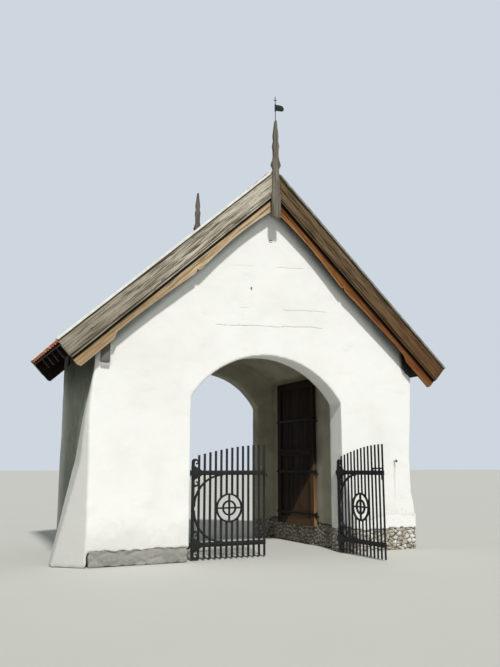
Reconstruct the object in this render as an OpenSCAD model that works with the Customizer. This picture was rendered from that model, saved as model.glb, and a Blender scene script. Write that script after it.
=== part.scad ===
// A whitewashed churchyard gatehouse: rubble piers and gables with an arched
// passage, a steep tiled roof on rafters, sawn bargeboards with finials, a pair
// of iron gates in the front arch and a pair of plank doors inside the passage.
// X runs across the front, Y runs into the passage, Z is up from the lowest ground.
// The ridge stands over X = 0, and Y = 0 is the middle of the whole object.

/* [Walls] */
// Width of the front wall
wall_w = 5480; // [5300:10:5700]
// Depth of the building from the front face to the rear face
wall_d = 2960; // [2800:10:3200]
// How far the masonry's centre line lies to the right of the ridge's
masonry_x = 0; // [-30:1:30]
// How far the left side wall draws in from the front to the rear
wall_taper = 140; // [0:10:180]
// Thickness of the front wall
front_wall_t = 385; // [340:5:420]
// Thickness of the rear wall
rear_wall_t = 270; // [240:5:340]
// Clear width of the chamber between the side walls
chamber_w = 2840; // [2800:5:2900]
// Height of the side walls' ledges that carry the vault
side_wall_h = 2770; // [2640:5:2840]
// Height of the side walls up to the wall plates
wall_top_h = 3050; // [3005:5:3100]

/* [Arches] */
// Clear width of the front opening
opening_w = 2596; // [2500:2:2680]
// Height of the front arch's springing
spring_z = 2330; // [2240:5:2390]
// Rise of the front arch above its springing
arch_rise = 695; // [600:5:760]
// Clear width of the rear opening
rear_opening_w = 2240; // [2000:5:2400]
// Height of the rear arch's springing
rear_spring_z = 2460; // [2390:5:2520]
// Rise of the rear arch above its springing
rear_arch_rise = 630; // [560:5:680]
// Height of the vault's springing over the chamber
vault_spring_z = 2920; // [2900:5:2990]
// Rise of the vault above its springing
vault_rise = 470; // [400:5:520]
// Thickness of the vault
vault_t = 170; // [120:5:220]

/* [Plinths] */
// Height of the left plinth
left_plinth_h = 200; // [160:5:260]
// Height of the right plinth along its outer half
right_plinth_h = 520; // [440:5:560]
// Height of the right plinth at the jamb
right_plinth_jamb_h = 350; // [300:5:400]
// Width of the level outer part of the right plinth
right_plinth_level_w = 700; // [500:10:900]
// How far the plaster stands proud of the plinths
plaster_t = 15; // [8:1:30]

/* [Left buttress] */
// Spread of the splayed corner at its foot
buttress_foot = 420; // [300:10:500]
// Spread of the splayed corner at its knee
buttress_knee = 125; // [80:5:160]
// Height of the knee
buttress_knee_z = 1380; // [1240:10:1490]
// Length of the splay along the side wall
buttress_d = 520; // [400:10:600]

/* [Roof] */
// Slope of the roof
pitch = 42.65; // [41.8:0.05:43.6]
// Height of the verge capping at the ridge
ridge_z = 6075; // [6020:5:6160]
// Length of a roof slope from the ridge line to the eave
slope_len = 4518; // [4460:2:4600]
// How much shorter the left slope is at the rear
eave_taper = 230; // [0:10:250]
// How far the bargeboards stand in front of the gable walls
verge_out = 210; // [200:2:230]
// Depth of the tiling with its battens
tile_t = 73; // [60:1:90]
// Thickness of the roof boards
roof_board_t = 25; // [20:1:32]
// Depth of a rafter
rafter_d = 180; // [165:5:190]
// Width of a rafter
rafter_w = 100; // [80:5:120]
// Number of rafter couples
rafter_count = 4; // [3:1:5]
// Width of a wall plate
plate_w = 140; // [130:5:160]
// Height of a wall plate
plate_h = 280; // [240:5:300]
// How far the wall plates run out past the gable walls
plate_out = 115; // [100:5:125]
// How far the corbel under the left plate's front end stands out
corbel_out = 85; // [60:5:95]
// Height of the corbel's foot
corbel_z = 2750; // [2700:5:2900]
// Radius of the ridge tiles
ridge_r = 115; // [100:5:130]
// Thickness of the ridge tiles
ridge_t = 16; // [12:1:20]

/* [Bargeboards] */
// Thickness of the bargeboards
barge_t = 45; // [38:1:52]
// Depth from the roof line to the lower edge of the bargeboards
barge_w = 333; // [310:1:350]
// Thickness of the scalloped boards
scallop_t = 28; // [22:1:34]
// Depth from the roof line to the scalloped edge at its swellings
scallop_w = 512; // [495:1:530]
// How deep the long hollows of the scalloped edge are
scallop_hollow = 50; // [40:1:60]
// Depth of the small notch in the scalloped edge
scallop_notch = 52; // [40:1:60]
// Thickness of the verge capping
cap_t = 12; // [8:1:16]
// Width of the verge capping across the tiles
cap_w = 140; // [110:5:180]
// Drop of the capping over the bargeboard's face
cap_lip = 35; // [26:1:45]
// Thickness of the capping's lip
cap_lip_t = 25; // [18:1:32]

/* [Finials] */
// Thickness of the finial boards
finial_t = 60; // [50:1:70]
// Width of the finial boards at the foot
finial_w = 150; // [130:2:170]
// How far the finial boards hang below the ridge
finial_drop = 846; // [800:2:890]
// How far the finial boards rise above the ridge
finial_rise = 815; // [770:5:860]
// Radius of the vane rod
rod_r = 6; // [5:0.5:8]
// Length of the vane rod above its finial
rod_l = 430; // [390:5:490]
// Reach of the vane from the rod
vane_l = 160; // [120:5:180]
// Height of the vane at its root
vane_h = 120; // [90:5:140]

/* [Iron gates] */
// Distance of the gate pins from the jambs
gate_pin_in = 40; // [38:1:48]
// Distance of the gate pins behind the front face
gate_pin_y = 110; // [100:1:115]
// Length of a gate leaf from its pin to the meeting edge
gate_l = 1221; // [1205:1:1225]
// Number of upright bars in a leaf beside its hinge stile
gate_bars = 13; // [11:1:14]
// Width of the upright bars
gate_bar_w = 35; // [30:1:40]
// Thickness of the upright bars
gate_bar_t = 10; // [8:1:12]
// Width of the hinge stile
gate_stile_w = 43; // [36:1:48]
// Height of the bars' feet above the ground
gate_foot_z = 15; // [12:1:40]
// Height of the lower rail's middle
gate_low_z = 215; // [212:1:235]
// Height of the upper rail's middle
gate_high_z = 1235; // [1200:5:1260]
// Height of the rails
gate_rail_h = 66; // [62:1:72]
// Thickness across the rails
gate_rail_t = 28; // [24:1:30]
// Height of the bars' curved top line at the hinge side
gate_top_hinge_z = 1470; // [1450:5:1500]
// Height of the bars' curved top line at the meeting edge
gate_top_meet_z = 1652; // [1620:2:1690]
// Radius of the wheel's outer ring
wheel_r = 210; // [190:1:215]
// Radius of the wheel's inner ring
wheel_in_r = 112; // [105:1:125]
// Width of the wheel's bands
wheel_band = 24; // [20:1:28]
// Radius of the curved braces between stile and rails
brace_r = 465; // [430:5:480]
// Width of the curved braces
brace_w = 26; // [20:1:30]
// How far the hinge scrolls reach above and below the rails
scroll_reach = 205; // [190:1:205]
// Radius of the hinge scrolls' crowns
scroll_r = 50; // [46:1:54]
// Length of the hinge straps along the rails
strap_l = 240; // [210:5:280]
// How far the right leaf stands open
gate_open = 91; // [85:1:95]

/* [Plank doors] */
// Distance of the door pins from the side walls
door_pin_in = 50; // [48:1:56]
// Distance of the door pins behind the front face
door_pin_y = 950; // [900:5:1000]
// Height of the doors' lower edge
door_foot_z = 320; // [290:5:360]
// Height of the doors' upper edge
door_top_z = 2860; // [2820:5:2880]
// Gap between the closed doors
door_gap = 50; // [44:1:60]
// Thickness of the planks
plank_t = 30; // [25:1:35]
// Thickness of the frame on the planks
door_frame_t = 30; // [25:1:35]
// Width of the frame's rails and stiles
door_frame_w = 130; // [110:5:150]

/* [Hidden] */
$fn = 64;

plaster = "#f2f1ec";
stone = "#9a9890";
timber = "#8c7a62";
dark_timber = "#3a2c20";
pale_timber = "#a8946f";
clay = "#b5643c";
lead = "#b9b6ac";
iron = "#1c1c1e";

// A cutter's reach past the faces that it cuts, and the clearance in sloping seats
cut = 1;
seat = 0.2;

wall_half = wall_w/2;
opening_half = opening_w/2;
rear_half = rear_opening_w/2;
chamber_half = chamber_w/2;
rear_y = wall_d - rear_wall_t;
verge_back = wall_d + verge_out;
verge_run = wall_d + 2*verge_out;
finial_y = -verge_out - finial_t;
keeper_reach = 29;
front_y = -(verge_back + finial_t - (gate_l + keeper_reach - gate_pin_y))/2;

v_tiles = cap_t + seat;
v_boards = v_tiles + tile_t;
v_rafters = v_boards + roof_board_t;
gate_pin_x = opening_half - gate_pin_in;
door_pin_x = chamber_half - door_pin_in;
door_l = door_pin_x - door_gap/2;
pin_r = 10;
pin_play = 0.08;
eye_r = 19;
eye_h = 60;
eye_gap = 0.3;

// Places a profile drawn in X and Z between two depths behind the front face
module along_y(from, to) {
  translate([0, front_y + to, 0]) rotate([90, 0, 0]) linear_extrude(to - from) children();
}

// Turns a piece drawn for the right side over to the left side
module on_side(side) {
  if (side < 0) mirror([1, 0, 0]) children();
  else children();
}

// A point of a roof slope: u down the slope from the ridge, v square below it
function slope_pt(side, u, v) =
  [side*(u*cos(pitch) - v*sin(pitch)), ridge_z - u*sin(pitch) - v*cos(pitch)];

// The outline of one layer of a roof slope, plumb at the ridge and square at the eave
function layer(side, v0, v1, len) = [slope_pt(side, v0*tan(pitch), v0), slope_pt(side, len, v0),
  slope_pt(side, len, v1), slope_pt(side, v1*tan(pitch), v1)];

// The length of a slope at a depth behind the front face: the left eave runs in
function eave_len(side, y) = side > 0 ? slope_len
  : slope_len - eave_taper*(y + verge_out)/verge_run;

// The height of a roof layer over a given distance from the ridge
function roof_z(x, v) = ridge_z - abs(x)*tan(pitch) - v/cos(pitch);

// The outside of a side wall at a depth behind the front face: the left wall runs in
function wall_out(side, y) = side > 0 ? wall_half : wall_half - wall_taper*y/wall_d;

// The top of a plinth from the jamb outwards, as points across the front
function plinth_line(side, inner) = side < 0
  ? [[side*wall_half, left_plinth_h], [side*inner, left_plinth_h]]
  : [[inner, plinth_z(inner)], [wall_half - right_plinth_level_w, right_plinth_h],
     [wall_half, right_plinth_h]];
function plinth_z(x) = right_plinth_jamb_h + (right_plinth_h - right_plinth_jamb_h)
  *(x - opening_half)/(wall_half - right_plinth_level_w - opening_half);

// A wall beside the passage, from its plinth up to a level top
module pier(side, inner, top) {
  translate([masonry_x, 0]) polygon(side < 0
    ? concat(plinth_line(side, inner), [[-inner, top], [-wall_half, top]])
    : concat(plinth_line(side, inner), [[wall_half, top], [inner, top]]));
}

// Trims the masonry to the plan of the outer walls
module in_plan() {
  intersection() {
    children();
    translate([masonry_x, front_y, 0]) linear_extrude(ridge_z) polygon([[-wall_out(-1, 0), 0],
      [wall_out(1, 0), 0], [wall_out(1, wall_d), wall_d], [-wall_out(-1, wall_d), wall_d]]);
  }
}

// The plan of a pier: the front wall, the chamber side and the rear wall
module pier_plan(side, inset) {
  front_in = opening_half + inset;
  chamber_in = chamber_half + inset;
  rear_in = rear_half + inset;
  translate([masonry_x, front_y]) scale([side, 1]) polygon([[front_in, inset],
    [wall_out(side, 0) - inset, inset], [wall_out(side, wall_d) - inset, wall_d - inset],
    [rear_in, wall_d - inset], [rear_in, rear_y], [chamber_in, rear_y],
    [chamber_in, front_wall_t], [front_in, front_wall_t]]);
}

module left_plinth() {
  color(stone) linear_extrude(left_plinth_h) pier_plan(-1, plaster_t);
}

module right_plinth() {
  color(stone) intersection() {
    linear_extrude(right_plinth_h - seat) pier_plan(1, plaster_t);
    along_y(0, wall_d) translate([masonry_x, -seat]) polygon(
      concat([[wall_half, -cut], [0, -cut], [0, plinth_z(0)]], plinth_line(1, opening_half)));
  }
}

module front_wall_left() {
  color(plaster) in_plan() along_y(0, front_wall_t) pier(-1, opening_half, spring_z);
}

module front_wall_right() {
  color(plaster) along_y(0, front_wall_t) pier(1, opening_half, spring_z);
}

module rear_wall_left() {
  color(plaster) in_plan() along_y(rear_y, wall_d) pier(-1, rear_half, rear_spring_z);
}

module rear_wall_right() {
  color(plaster) along_y(rear_y, wall_d) pier(1, rear_half, rear_spring_z);
}

// A side wall: a ledge beside the chamber for the vault, and the rest up to the plates
module side_wall(side) {
  along_y(front_wall_t, rear_y) {
    pier(side, chamber_half, side_wall_h);
    pier(side, chamber_half + vault_t, wall_top_h);
  }
}

module left_side_wall() {
  color(plaster) in_plan() side_wall(-1);
}

module right_side_wall() {
  color(plaster) side_wall(1);
}

function arch_r(half, rise) = (half*half + rise*rise)/(2*rise);

// A gable wall over an arch, up to the underside of the roof boards
module gable(from, to, base, half, rise) {
  left = masonry_x - wall_half;
  right = masonry_x + wall_half;
  v = v_rafters + seat;
  difference() {
    in_plan() along_y(from, to) difference() {
      polygon([[left, base], [right, base], [right, roof_z(right, v)],
        [0, roof_z(0, v)], [left, roof_z(left, v)]]);
      translate([masonry_x, base + rise - arch_r(half, rise)]) circle(arch_r(half, rise), $fn = 128);
    }
    for (side = [-1, 1]) wall_plate(side, seat);
  }
}

module front_gable() {
  color(plaster) {
    gable(0, front_wall_t, spring_z, opening_half, arch_rise);
    along_y(-corbel_out, cut) translate([masonry_x - wall_half + plate_set, corbel_z])
      square([plate_w, wall_top_h - corbel_z]);
  }
}

module rear_gable() {
  color(plaster) gable(rear_y, wall_d, rear_spring_z, rear_half, rear_arch_rise);
}

// A segmental barrel over the chamber, carried on the side walls
module passage_vault() {
  r = arch_r(chamber_half, vault_rise);
  centre = vault_spring_z + vault_rise - r;
  outer = chamber_half + vault_t;
  color(plaster) along_y(front_wall_t, rear_y) translate([masonry_x, 0]) difference() {
    intersection() {
      translate([-outer, side_wall_h]) square([2*outer, vault_spring_z]);
      union() {
        translate([0, centre]) circle(r + vault_t, $fn = 128);
        translate([-outer, 0]) square([2*outer, vault_spring_z]);
      }
    }
    intersection() {
      translate([0, centre]) circle(r, $fn = 128);
      translate([-chamber_half, vault_spring_z]) square([chamber_w, vault_spring_z]);
    }
    translate([-chamber_half, 0]) square([chamber_w, vault_spring_z]);
  }
}

// The splayed plaster at the front left corner, spreading down to the ground
module left_buttress() {
  x = masonry_x - wall_half;
  inner = wall_half - wall_out(-1, buttress_d) - seat;
  below_knee = buttress_knee + (buttress_foot - buttress_knee)/3;
  color(plaster) intersection() {
    along_y(0, buttress_d) polygon([[x + inner, 0], [x - buttress_foot, 0],
      [x - below_knee, buttress_knee_z*2/3], [x - buttress_knee, buttress_knee_z],
      [x, side_wall_h], [x + inner, side_wall_h]]);
    linear_extrude(side_wall_h) translate([x, front_y]) polygon([[-seat, 0],
      [-buttress_foot, buttress_d*2/3], [-buttress_foot, buttress_d], [inner, buttress_d]]);
  }
}

// A beam over a side wall, following that wall's face: it runs out past the rear gable,
// and on the left past the front gable too, but the right one ends inside the plaster
module wall_plate(side, play) {
  y0 = side < 0 ? -plate_out : plate_cover;
  y1 = wall_d + plate_out;
  in0 = wall_out(side, y0) - plate_set;
  in1 = wall_out(side, y1) - plate_set;
  translate([masonry_x, front_y, wall_top_h]) linear_extrude(plate_h) scale([side, 1])
    polygon([[in0 + play, y0], [in1 + play, y1], [in1 - plate_w - play, y1],
      [in0 - plate_w - play, y0]]);
}
plate_set = 60;
plate_cover = 60;

module left_wall_plate() {
  color(dark_timber) wall_plate(-1, 0);
}

module right_wall_plate() {
  color(dark_timber) wall_plate(1, 0);
}

// Couples halved together at the ridge and notched over the wall plates
rafter_end = 60;
module rafters() {
  room = rear_y - front_wall_t;
  v = v_rafters + seat;
  color(dark_timber) for (i = [1:rafter_count]) {
    y = front_wall_t + room*(i - 0.5)/rafter_count;
    difference() {
      along_y(y - rafter_w/2, y + rafter_w/2) for (side = [-1, 1])
        polygon(layer(side, v, v + rafter_d, eave_len(side, y + rafter_w/2) - rafter_end));
      for (side = [-1, 1]) wall_plate(side, seat);
    }
  }
}

// One layer of a roof slope between the bargeboards, plumb at the ridge
module roof_slab(side, v0, v1) {
  from = barge_t - verge_out;
  to = verge_back - barge_t;
  on_side(side) intersection() {
    translate([0, front_y + from, 0]) cube([slope_len, to - from, ridge_z]);
    translate([0, front_y, ridge_z]) rotate([0, pitch, 0]) translate([0, 0, -v1])
      linear_extrude(v1 - v0) polygon([[0, from], [eave_len(side, from), from],
        [eave_len(side, to), to], [0, to]]);
  }
}

module left_roof_boards() {
  color(dark_timber) roof_slab(-1, v_boards, v_rafters);
}

module right_roof_boards() {
  color(dark_timber) roof_slab(1, v_boards, v_rafters);
}

module left_roof_tiles() {
  color(clay) roof_slab(-1, v_tiles, v_boards - seat);
}

module right_roof_tiles() {
  color(clay) roof_slab(1, v_tiles, v_boards - seat);
}

// Half-round tiles lying over the ridge between the verge cappings
ridge_sink = 50;
module ridge_tiles() {
  z = ridge_z - v_tiles/cos(pitch) - ridge_r/cos(pitch) + ridge_r - ridge_sink;
  color(clay) along_y(cap_w - verge_out, verge_back - cap_w) difference() {
    translate([0, z]) circle(ridge_r);
    translate([0, z]) circle(ridge_r - ridge_t);
    for (side = [-1, 1]) polygon(layer(side, v_tiles - seat, ridge_r*3, ridge_r*4));
  }
}

module bargeboard(side, y) {
  along_y(y, y + barge_t) polygon(layer(side, cap_t + seat, barge_w, eave_len(side, y)));
}

module front_left_bargeboard() {
  color(timber) bargeboard(-1, -verge_out);
}

module front_right_bargeboard() {
  color(timber) bargeboard(1, -verge_out);
}

module rear_left_bargeboard() {
  color(timber) bargeboard(-1, verge_back - barge_t);
}

module rear_right_bargeboard() {
  color(timber) bargeboard(1, verge_back - barge_t);
}

// The sawn lower edge of a scalloped board, from the ridge down to the eave: a long
// hollow, a notch between two rounded lobes, a slow sweep and a step down to the tail
hollow_start = 490;
lobe_start = 2153;
notch_u = 2233;
lobe_end = 2293;
notch_rise = 6;
sweep_end = 735;
sweep_rise = 60;
tail_start = 605;
tail_rise = 13;
tail_end = 25;
tail_slant = 40;
function scallop_edge(len) = let (low = scallop_w - notch_rise, cusp = scallop_w - scallop_notch,
    sweep = len - sweep_end, high = low - sweep_rise, tail = scallop_w - tail_rise) concat(
  [for (i = [0:12]) let (t = i/12)
    [hollow_start + t*(lobe_start - hollow_start), scallop_w - scallop_hollow*sin(180*t)]],
  [for (i = [1:5]) let (a = 18*i)
    [lobe_start + (notch_u - lobe_start)*sin(a), cusp + scallop_notch*cos(a)]],
  [for (i = [1:5]) let (a = 18*i)
    [lobe_end - (lobe_end - notch_u)*cos(a), cusp + (low - cusp)*sin(a)]],
  [for (i = [1:8]) let (t = i/8) [lobe_end + t*(sweep - lobe_end), low - sweep_rise*sin(90*t)]],
  [for (i = [1:5]) let (t = i/5)
    [sweep + t*(sweep_end - tail_start), high + (tail - high)*(1 - cos(180*t))/2]],
  [[len - tail_end, tail], [len, tail - tail_slant]]);

board_joint = 1;
module scalloped_boards(y) {
  v = v_rafters + seat;
  top_u = scallop_w*tan(pitch);
  along_y(y, y + scallop_t) for (side = [-1, 1]) intersection() {
    polygon(concat([slope_pt(side, eave_len(side, y), v), slope_pt(side, v*tan(pitch), v),
      slope_pt(side, top_u, scallop_w)],
      [for (p = scallop_edge(eave_len(side, y))) if (p[0] > top_u) slope_pt(side, p[0], p[1])]));
    translate([side > 0 ? board_joint : -slope_len - board_joint, 0]) square([slope_len, ridge_z]);
  }
}

module front_scalloped_boards() {
  color(pale_timber) scalloped_boards(barge_t - verge_out);
}

module rear_scalloped_boards() {
  color(pale_timber) scalloped_boards(verge_back - barge_t - scallop_t);
}

// A folded capping over both verges of the front gable, notched round the finial
module verge_cap(y) {
  difference() {
    union() for (side = [-1, 1]) {
      along_y(-verge_out, cap_w - verge_out) polygon(layer(side, 0, cap_t, eave_len(side, y)));
      along_y(-verge_out - cap_lip_t, -verge_out)
        polygon(layer(side, 0, cap_lip, eave_len(side, y)));
    }
    along_y(finial_y, -verge_out) translate([-finial_w/2, ridge_z - finial_drop])
      square([finial_w, finial_drop + finial_rise]);
  }
}

// Turns a front piece round to the same place on the rear gable
module at_rear() {
  translate([0, 2*front_y + wall_d, 0]) mirror([0, 1, 0]) children();
}

module front_verge_cap() {
  color(lead) verge_cap(-verge_out);
}

module rear_verge_cap() {
  color(lead) at_rear() verge_cap(verge_back);
}

// The sawn outline of a finial board: a square foot, a bulb, a collar and a lance,
// as shares of the half width at the foot and of the height
FINIAL_LINE = [[1, 0], [1, 0.228], [0.79, 0.232], [0.74, 0.3], [0.7, 0.387], [0.63, 0.453],
  [0.66, 0.493], [0.9, 0.513], [1.09, 0.532], [0.98, 0.552], [0.7, 0.586], [0.56, 0.619],
  [0.58, 0.686], [0.72, 0.73], [0.67, 0.748], [0.47, 0.785], [0.57, 0.822], [0.56, 0.847],
  [0.34, 0.92], [0.13, 1]];
finial_h = finial_drop + finial_rise;
finial_foot_z = ridge_z - finial_drop;
finial_tip_z = ridge_z + finial_rise;
function finial_pt(side, i) =
  [side*FINIAL_LINE[i][0]*finial_w/2, finial_foot_z + FINIAL_LINE[i][1]*finial_h];

module finial() {
  last = len(FINIAL_LINE) - 1;
  along_y(finial_y, -verge_out) polygon(concat([for (i = [0:last]) finial_pt(1, i)],
    [for (i = [last:-1:0]) finial_pt(-1, i)]));
}

module front_finial() {
  color(timber) finial();
}

module rear_finial() {
  color(timber) at_rear() finial();
}

rod_y = front_y + finial_y + finial_t/2;
vane_rise = 176;
vane_z = finial_tip_z + vane_rise;
vane_play = 0.1;
vane_sleeve_r = rod_r + 5;
vane_sheet = 3;
vane_disc_r = 52;
vane_root = 5;
collar_h = 12;
cross_l = 56;
cross_t = 10;
cross_drop = 70;

module vane_rod() {
  color(iron) translate([0, rod_y, finial_tip_z]) {
    cylinder(r = rod_r, h = rod_l);
    translate([0, 0, vane_z - finial_tip_z - eye_gap - collar_h])
      cylinder(r = vane_sleeve_r, h = collar_h);
    translate([-cross_l/2, -cross_t/2, rod_l - cross_drop]) cube([cross_l, cross_t, cross_t]);
  }
}

// Where a line from a point touches a circle, on the side given by the turn
function touch_pt(centre, r, from, turn) = let (d = from - centre,
    a = atan2(d[1], d[0]) + turn*acos(r/norm(d))) centre + r*[cos(a), sin(a)];

// A bare pennant on a sleeve that turns round the rod: a disc drawn in to the root
module weather_vane() {
  disc = [vane_l - vane_disc_r, vane_h - vane_disc_r];
  low = [vane_sleeve_r - cut, vane_root];
  high = [vane_sleeve_r - cut, vane_h - vane_root];
  color(iron) translate([0, rod_y, vane_z]) {
    difference() {
      cylinder(r = vane_sleeve_r, h = vane_h);
      translate([0, 0, -cut]) cylinder(r = rod_r + vane_play, h = vane_h + 2*cut);
    }
    translate([0, vane_sheet/2, 0]) rotate([90, 0, 0]) linear_extrude(vane_sheet) {
      polygon([low, touch_pt(disc, vane_disc_r, low, 1), disc,
        touch_pt(disc, vane_disc_r, high, -1), high]);
      translate(disc) circle(vane_disc_r);
    }
  }
}

// The places of the hinge stile and of bar i in a gate leaf, from the pin
stile_s = 24;
stile_end = stile_s + gate_stile_w;
gate_first = 138;
function bar_s(i) = gate_first + i*(gate_l - gate_bar_w/2 - gate_first)/(gate_bars - 1);
function bar_top(i) = gate_top_hinge_z
  + (gate_top_meet_z - gate_top_hinge_z)*sin(90*(i + 1)/gate_bars);
gate_rails = [gate_low_z, gate_high_z];
wheel_s = (bar_s(gate_bars - 1) + stile_s + gate_stile_w/2)/2;
wheel_z = (gate_low_z + gate_high_z)/2;
rivet_r = 7;
rivet_h = 3;

// Draws a leaf's profile, across from the pin and up, from one face to the other
module leaf_plate(from, to) {
  translate([0, to, 0]) rotate([90, 0, 0]) linear_extrude(to - from) children();
}

module ring(outer, band) {
  difference() {
    circle(outer);
    circle(outer - band);
  }
}

// The head of the hinge stile over a rail: a crown with a hook that curls in to a knob
scroll_hole_r = 25;
scroll_hole_drop = 7;
hook_in_r = 22;
hook_in_w = 10;
hook_knob_r = 11;
module gate_scroll() {
  hole_z = scroll_reach - scroll_r - scroll_hole_drop;
  difference() {
    translate([stile_s + scroll_r, scroll_reach - scroll_r]) circle(scroll_r);
    translate([stile_end + scroll_hole_r, hole_z]) circle(scroll_hole_r);
    translate([stile_end, hole_z - scroll_r]) square([2*scroll_r, scroll_r]);
  }
  translate([stile_end + scroll_hole_r*4/3, hole_z]) {
    intersection() {
      ring(hook_in_r, hook_in_w);
      translate([0, -hook_in_r]) square(hook_in_r);
    }
    translate([0, hook_in_w/2 - hook_in_r]) circle(hook_knob_r);
  }
}

// A quarter ring from the upper rail down to the hinge stile
module gate_brace() {
  translate([stile_end - brace_w/2 + brace_r, gate_high_z - gate_rail_h/2 + brace_w/2 - brace_r])
    intersection() {
      ring(brace_r, brace_w, $fn = 128);
      translate([-brace_r, 0]) square(brace_r);
    }
}

// The hinge stile with its scrolls, the rails, the braces and the riveted upright bars
module gate_leaf() {
  leaf_plate(-gate_bar_t/2, gate_bar_t/2) difference() {
    for (i = [0:gate_bars - 1])
      translate([bar_s(i) - gate_bar_w/2, gate_foot_z])
        square([gate_bar_w, bar_top(i) - gate_foot_z]);
    translate([wheel_s, wheel_z]) circle(wheel_r);
  }
  leaf_plate(-gate_rail_t/2, gate_rail_t/2) {
    translate([stile_s, gate_low_z - scroll_reach + scroll_r])
      square([gate_stile_w, gate_high_z - gate_low_z + 2*scroll_reach - 2*scroll_r]);
    for (z = gate_rails) {
      translate([stile_s, z - gate_rail_h/2]) square([gate_l - stile_s, gate_rail_h]);
      for (side = [-1, 1]) translate([0, z]) scale([1, side]) gate_scroll();
    }
    gate_brace();
    translate([0, 2*wheel_z]) scale([1, -1]) gate_brace();
  }
  for (z = gate_rails, i = [0:gate_bars - 2])
    if (bar_s(i) - rivet_r > strap_l) leaf_plate(-gate_rail_t/2 - rivet_h, gate_rail_t/2 + rivet_h)
      translate([bar_s(i), z]) circle(rivet_r, $fn = 24);
}

// Two rings and a cross, set in the middle of a leaf
module gate_wheel() {
  leaf_plate(-gate_rail_t/2, gate_rail_t/2) translate([wheel_s, wheel_z]) {
    ring(wheel_r, wheel_band);
    ring(wheel_in_r, wheel_band);
    for (a = [0, 90]) rotate(a) translate([-wheel_band/2, wheel_band/2 - wheel_r])
      square([wheel_band, 2*wheel_r - wheel_band]);
  }
}

// At each rail a strap on both faces with a broad root, and an eye round the pin
strap_h = 60;
strap_t = 6;
root_h = 200;
root_end = 190;
module gate_straps() {
  half = gate_rail_t/2;
  for (z = gate_rails) translate([0, 0, z]) {
    for (y = [-half - strap_t, half]) leaf_plate(y, y + strap_t) polygon([[stile_s, -root_h/2],
      [stile_end, -root_h/2], [root_end, -strap_h/2], [strap_l, -strap_h/2],
      [strap_l, strap_h/2], [root_end, strap_h/2], [stile_end, root_h/2], [stile_s, root_h/2]]);
    difference() {
      translate([0, 0, -eye_h/2]) union() {
        cylinder(r = eye_r, h = eye_h);
        translate([0, -half - strap_t, 0]) cube([stile_s, 2*half + 2*strap_t, eye_h]);
      }
      translate([0, 0, -eye_h/2 - cut]) cylinder(r = pin_r + pin_play, h = eye_h + 2*cut);
    }
  }
}

// A knob over the upper rail on the front face, with a curl hanging past the last bar
latch_t = 8;
latch_w = 24;
latch_s = 1190;
latch_foot = 55;
latch_knob_r = 13;
latch_knob_h = 70;
latch_curl_r = 26;
latch_over = 3;
module knob_latch() {
  leaf_plate(-gate_rail_t/2 - latch_t, -gate_rail_t/2) translate([latch_s, gate_high_z]) {
    translate([-latch_w/2, -latch_foot]) square([latch_w, latch_foot + latch_knob_h]);
    translate([0, latch_knob_h]) circle(latch_knob_r);
    translate([latch_curl_r + latch_over, -latch_foot + latch_w/2]) difference() {
      ring(latch_curl_r, latch_w/2);
      translate([-latch_curl_r, -latch_curl_r]) square(latch_curl_r);
    }
  }
}

// A bolt over the upper rail on the rear face, with a keeper of three lobes below it
bolt_l = 258;
bolt_h = 22;
bolt_z = 53;
staple_w = 20;
staple_in = 22;
keeper_w = 35;
keeper_l = 100;
lobe_r = 18;
module bolt_latch() {
  leaf_plate(gate_rail_t/2, gate_rail_t/2 + latch_t) translate([gate_l, gate_high_z]) {
    translate([-bolt_l, bolt_z]) square([bolt_l, bolt_h]);
    for (s = [staple_in, bolt_l - keeper_w - 2*staple_w]) translate([s - bolt_l, 0])
      square([staple_w, bolt_z + bolt_h]);
    translate([-keeper_w, -keeper_l]) square([keeper_w, keeper_l]);
    for (i = [0:2]) translate([keeper_reach - lobe_r, -lobe_r/2 - i*(keeper_l - lobe_r/2)/2])
      circle(lobe_r);
  }
}

module place_left_gate() {
  translate([masonry_x - gate_pin_x, front_y + gate_pin_y, 0]) children();
}

module place_right_gate() {
  translate([masonry_x + gate_pin_x, front_y + gate_pin_y, 0]) rotate([0, 0, gate_open])
    mirror([1, 0, 0]) children();
}

module left_gate_leaf() {
  color(iron) place_left_gate() gate_leaf();
}

module left_gate_wheel() {
  color(iron) place_left_gate() gate_wheel();
}

module left_gate_straps() {
  color(iron) place_left_gate() gate_straps();
}

module left_gate_latch() {
  color(iron) place_left_gate() knob_latch();
}

module right_gate_leaf() {
  color(iron) place_right_gate() gate_leaf();
}

module right_gate_wheel() {
  color(iron) place_right_gate() gate_wheel();
}

module right_gate_straps() {
  color(iron) place_right_gate() gate_straps();
}

module right_gate_latch() {
  color(iron) place_right_gate() bolt_latch();
}

// A pin on a square shank that comes out of the masonry, under an eye
shank_h = 22;
pin_over = 12;
module hinge_pin(reach, z) {
  base = z - eye_h/2 - eye_gap;
  translate([0, 0, base - shank_h]) cylinder(r = pin_r, h = eye_h + shank_h + pin_over);
  translate([0, -shank_h/2, base - shank_h]) cube([reach, shank_h, shank_h]);
}

door_strap_z = [520, 1240, 2150];
module hinge_pins(side) {
  translate([masonry_x + side*gate_pin_x, front_y + gate_pin_y, 0]) on_side(side)
    for (z = gate_rails) hinge_pin(gate_pin_in, z);
  translate([masonry_x + side*door_pin_x, front_y + door_pin_y, 0]) on_side(side)
    for (z = door_strap_z) hinge_pin(door_pin_in, z);
}

module left_hinge_pins() {
  color(iron) hinge_pins(-1);
}

module right_hinge_pins() {
  color(iron) hinge_pins(1);
}

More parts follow.
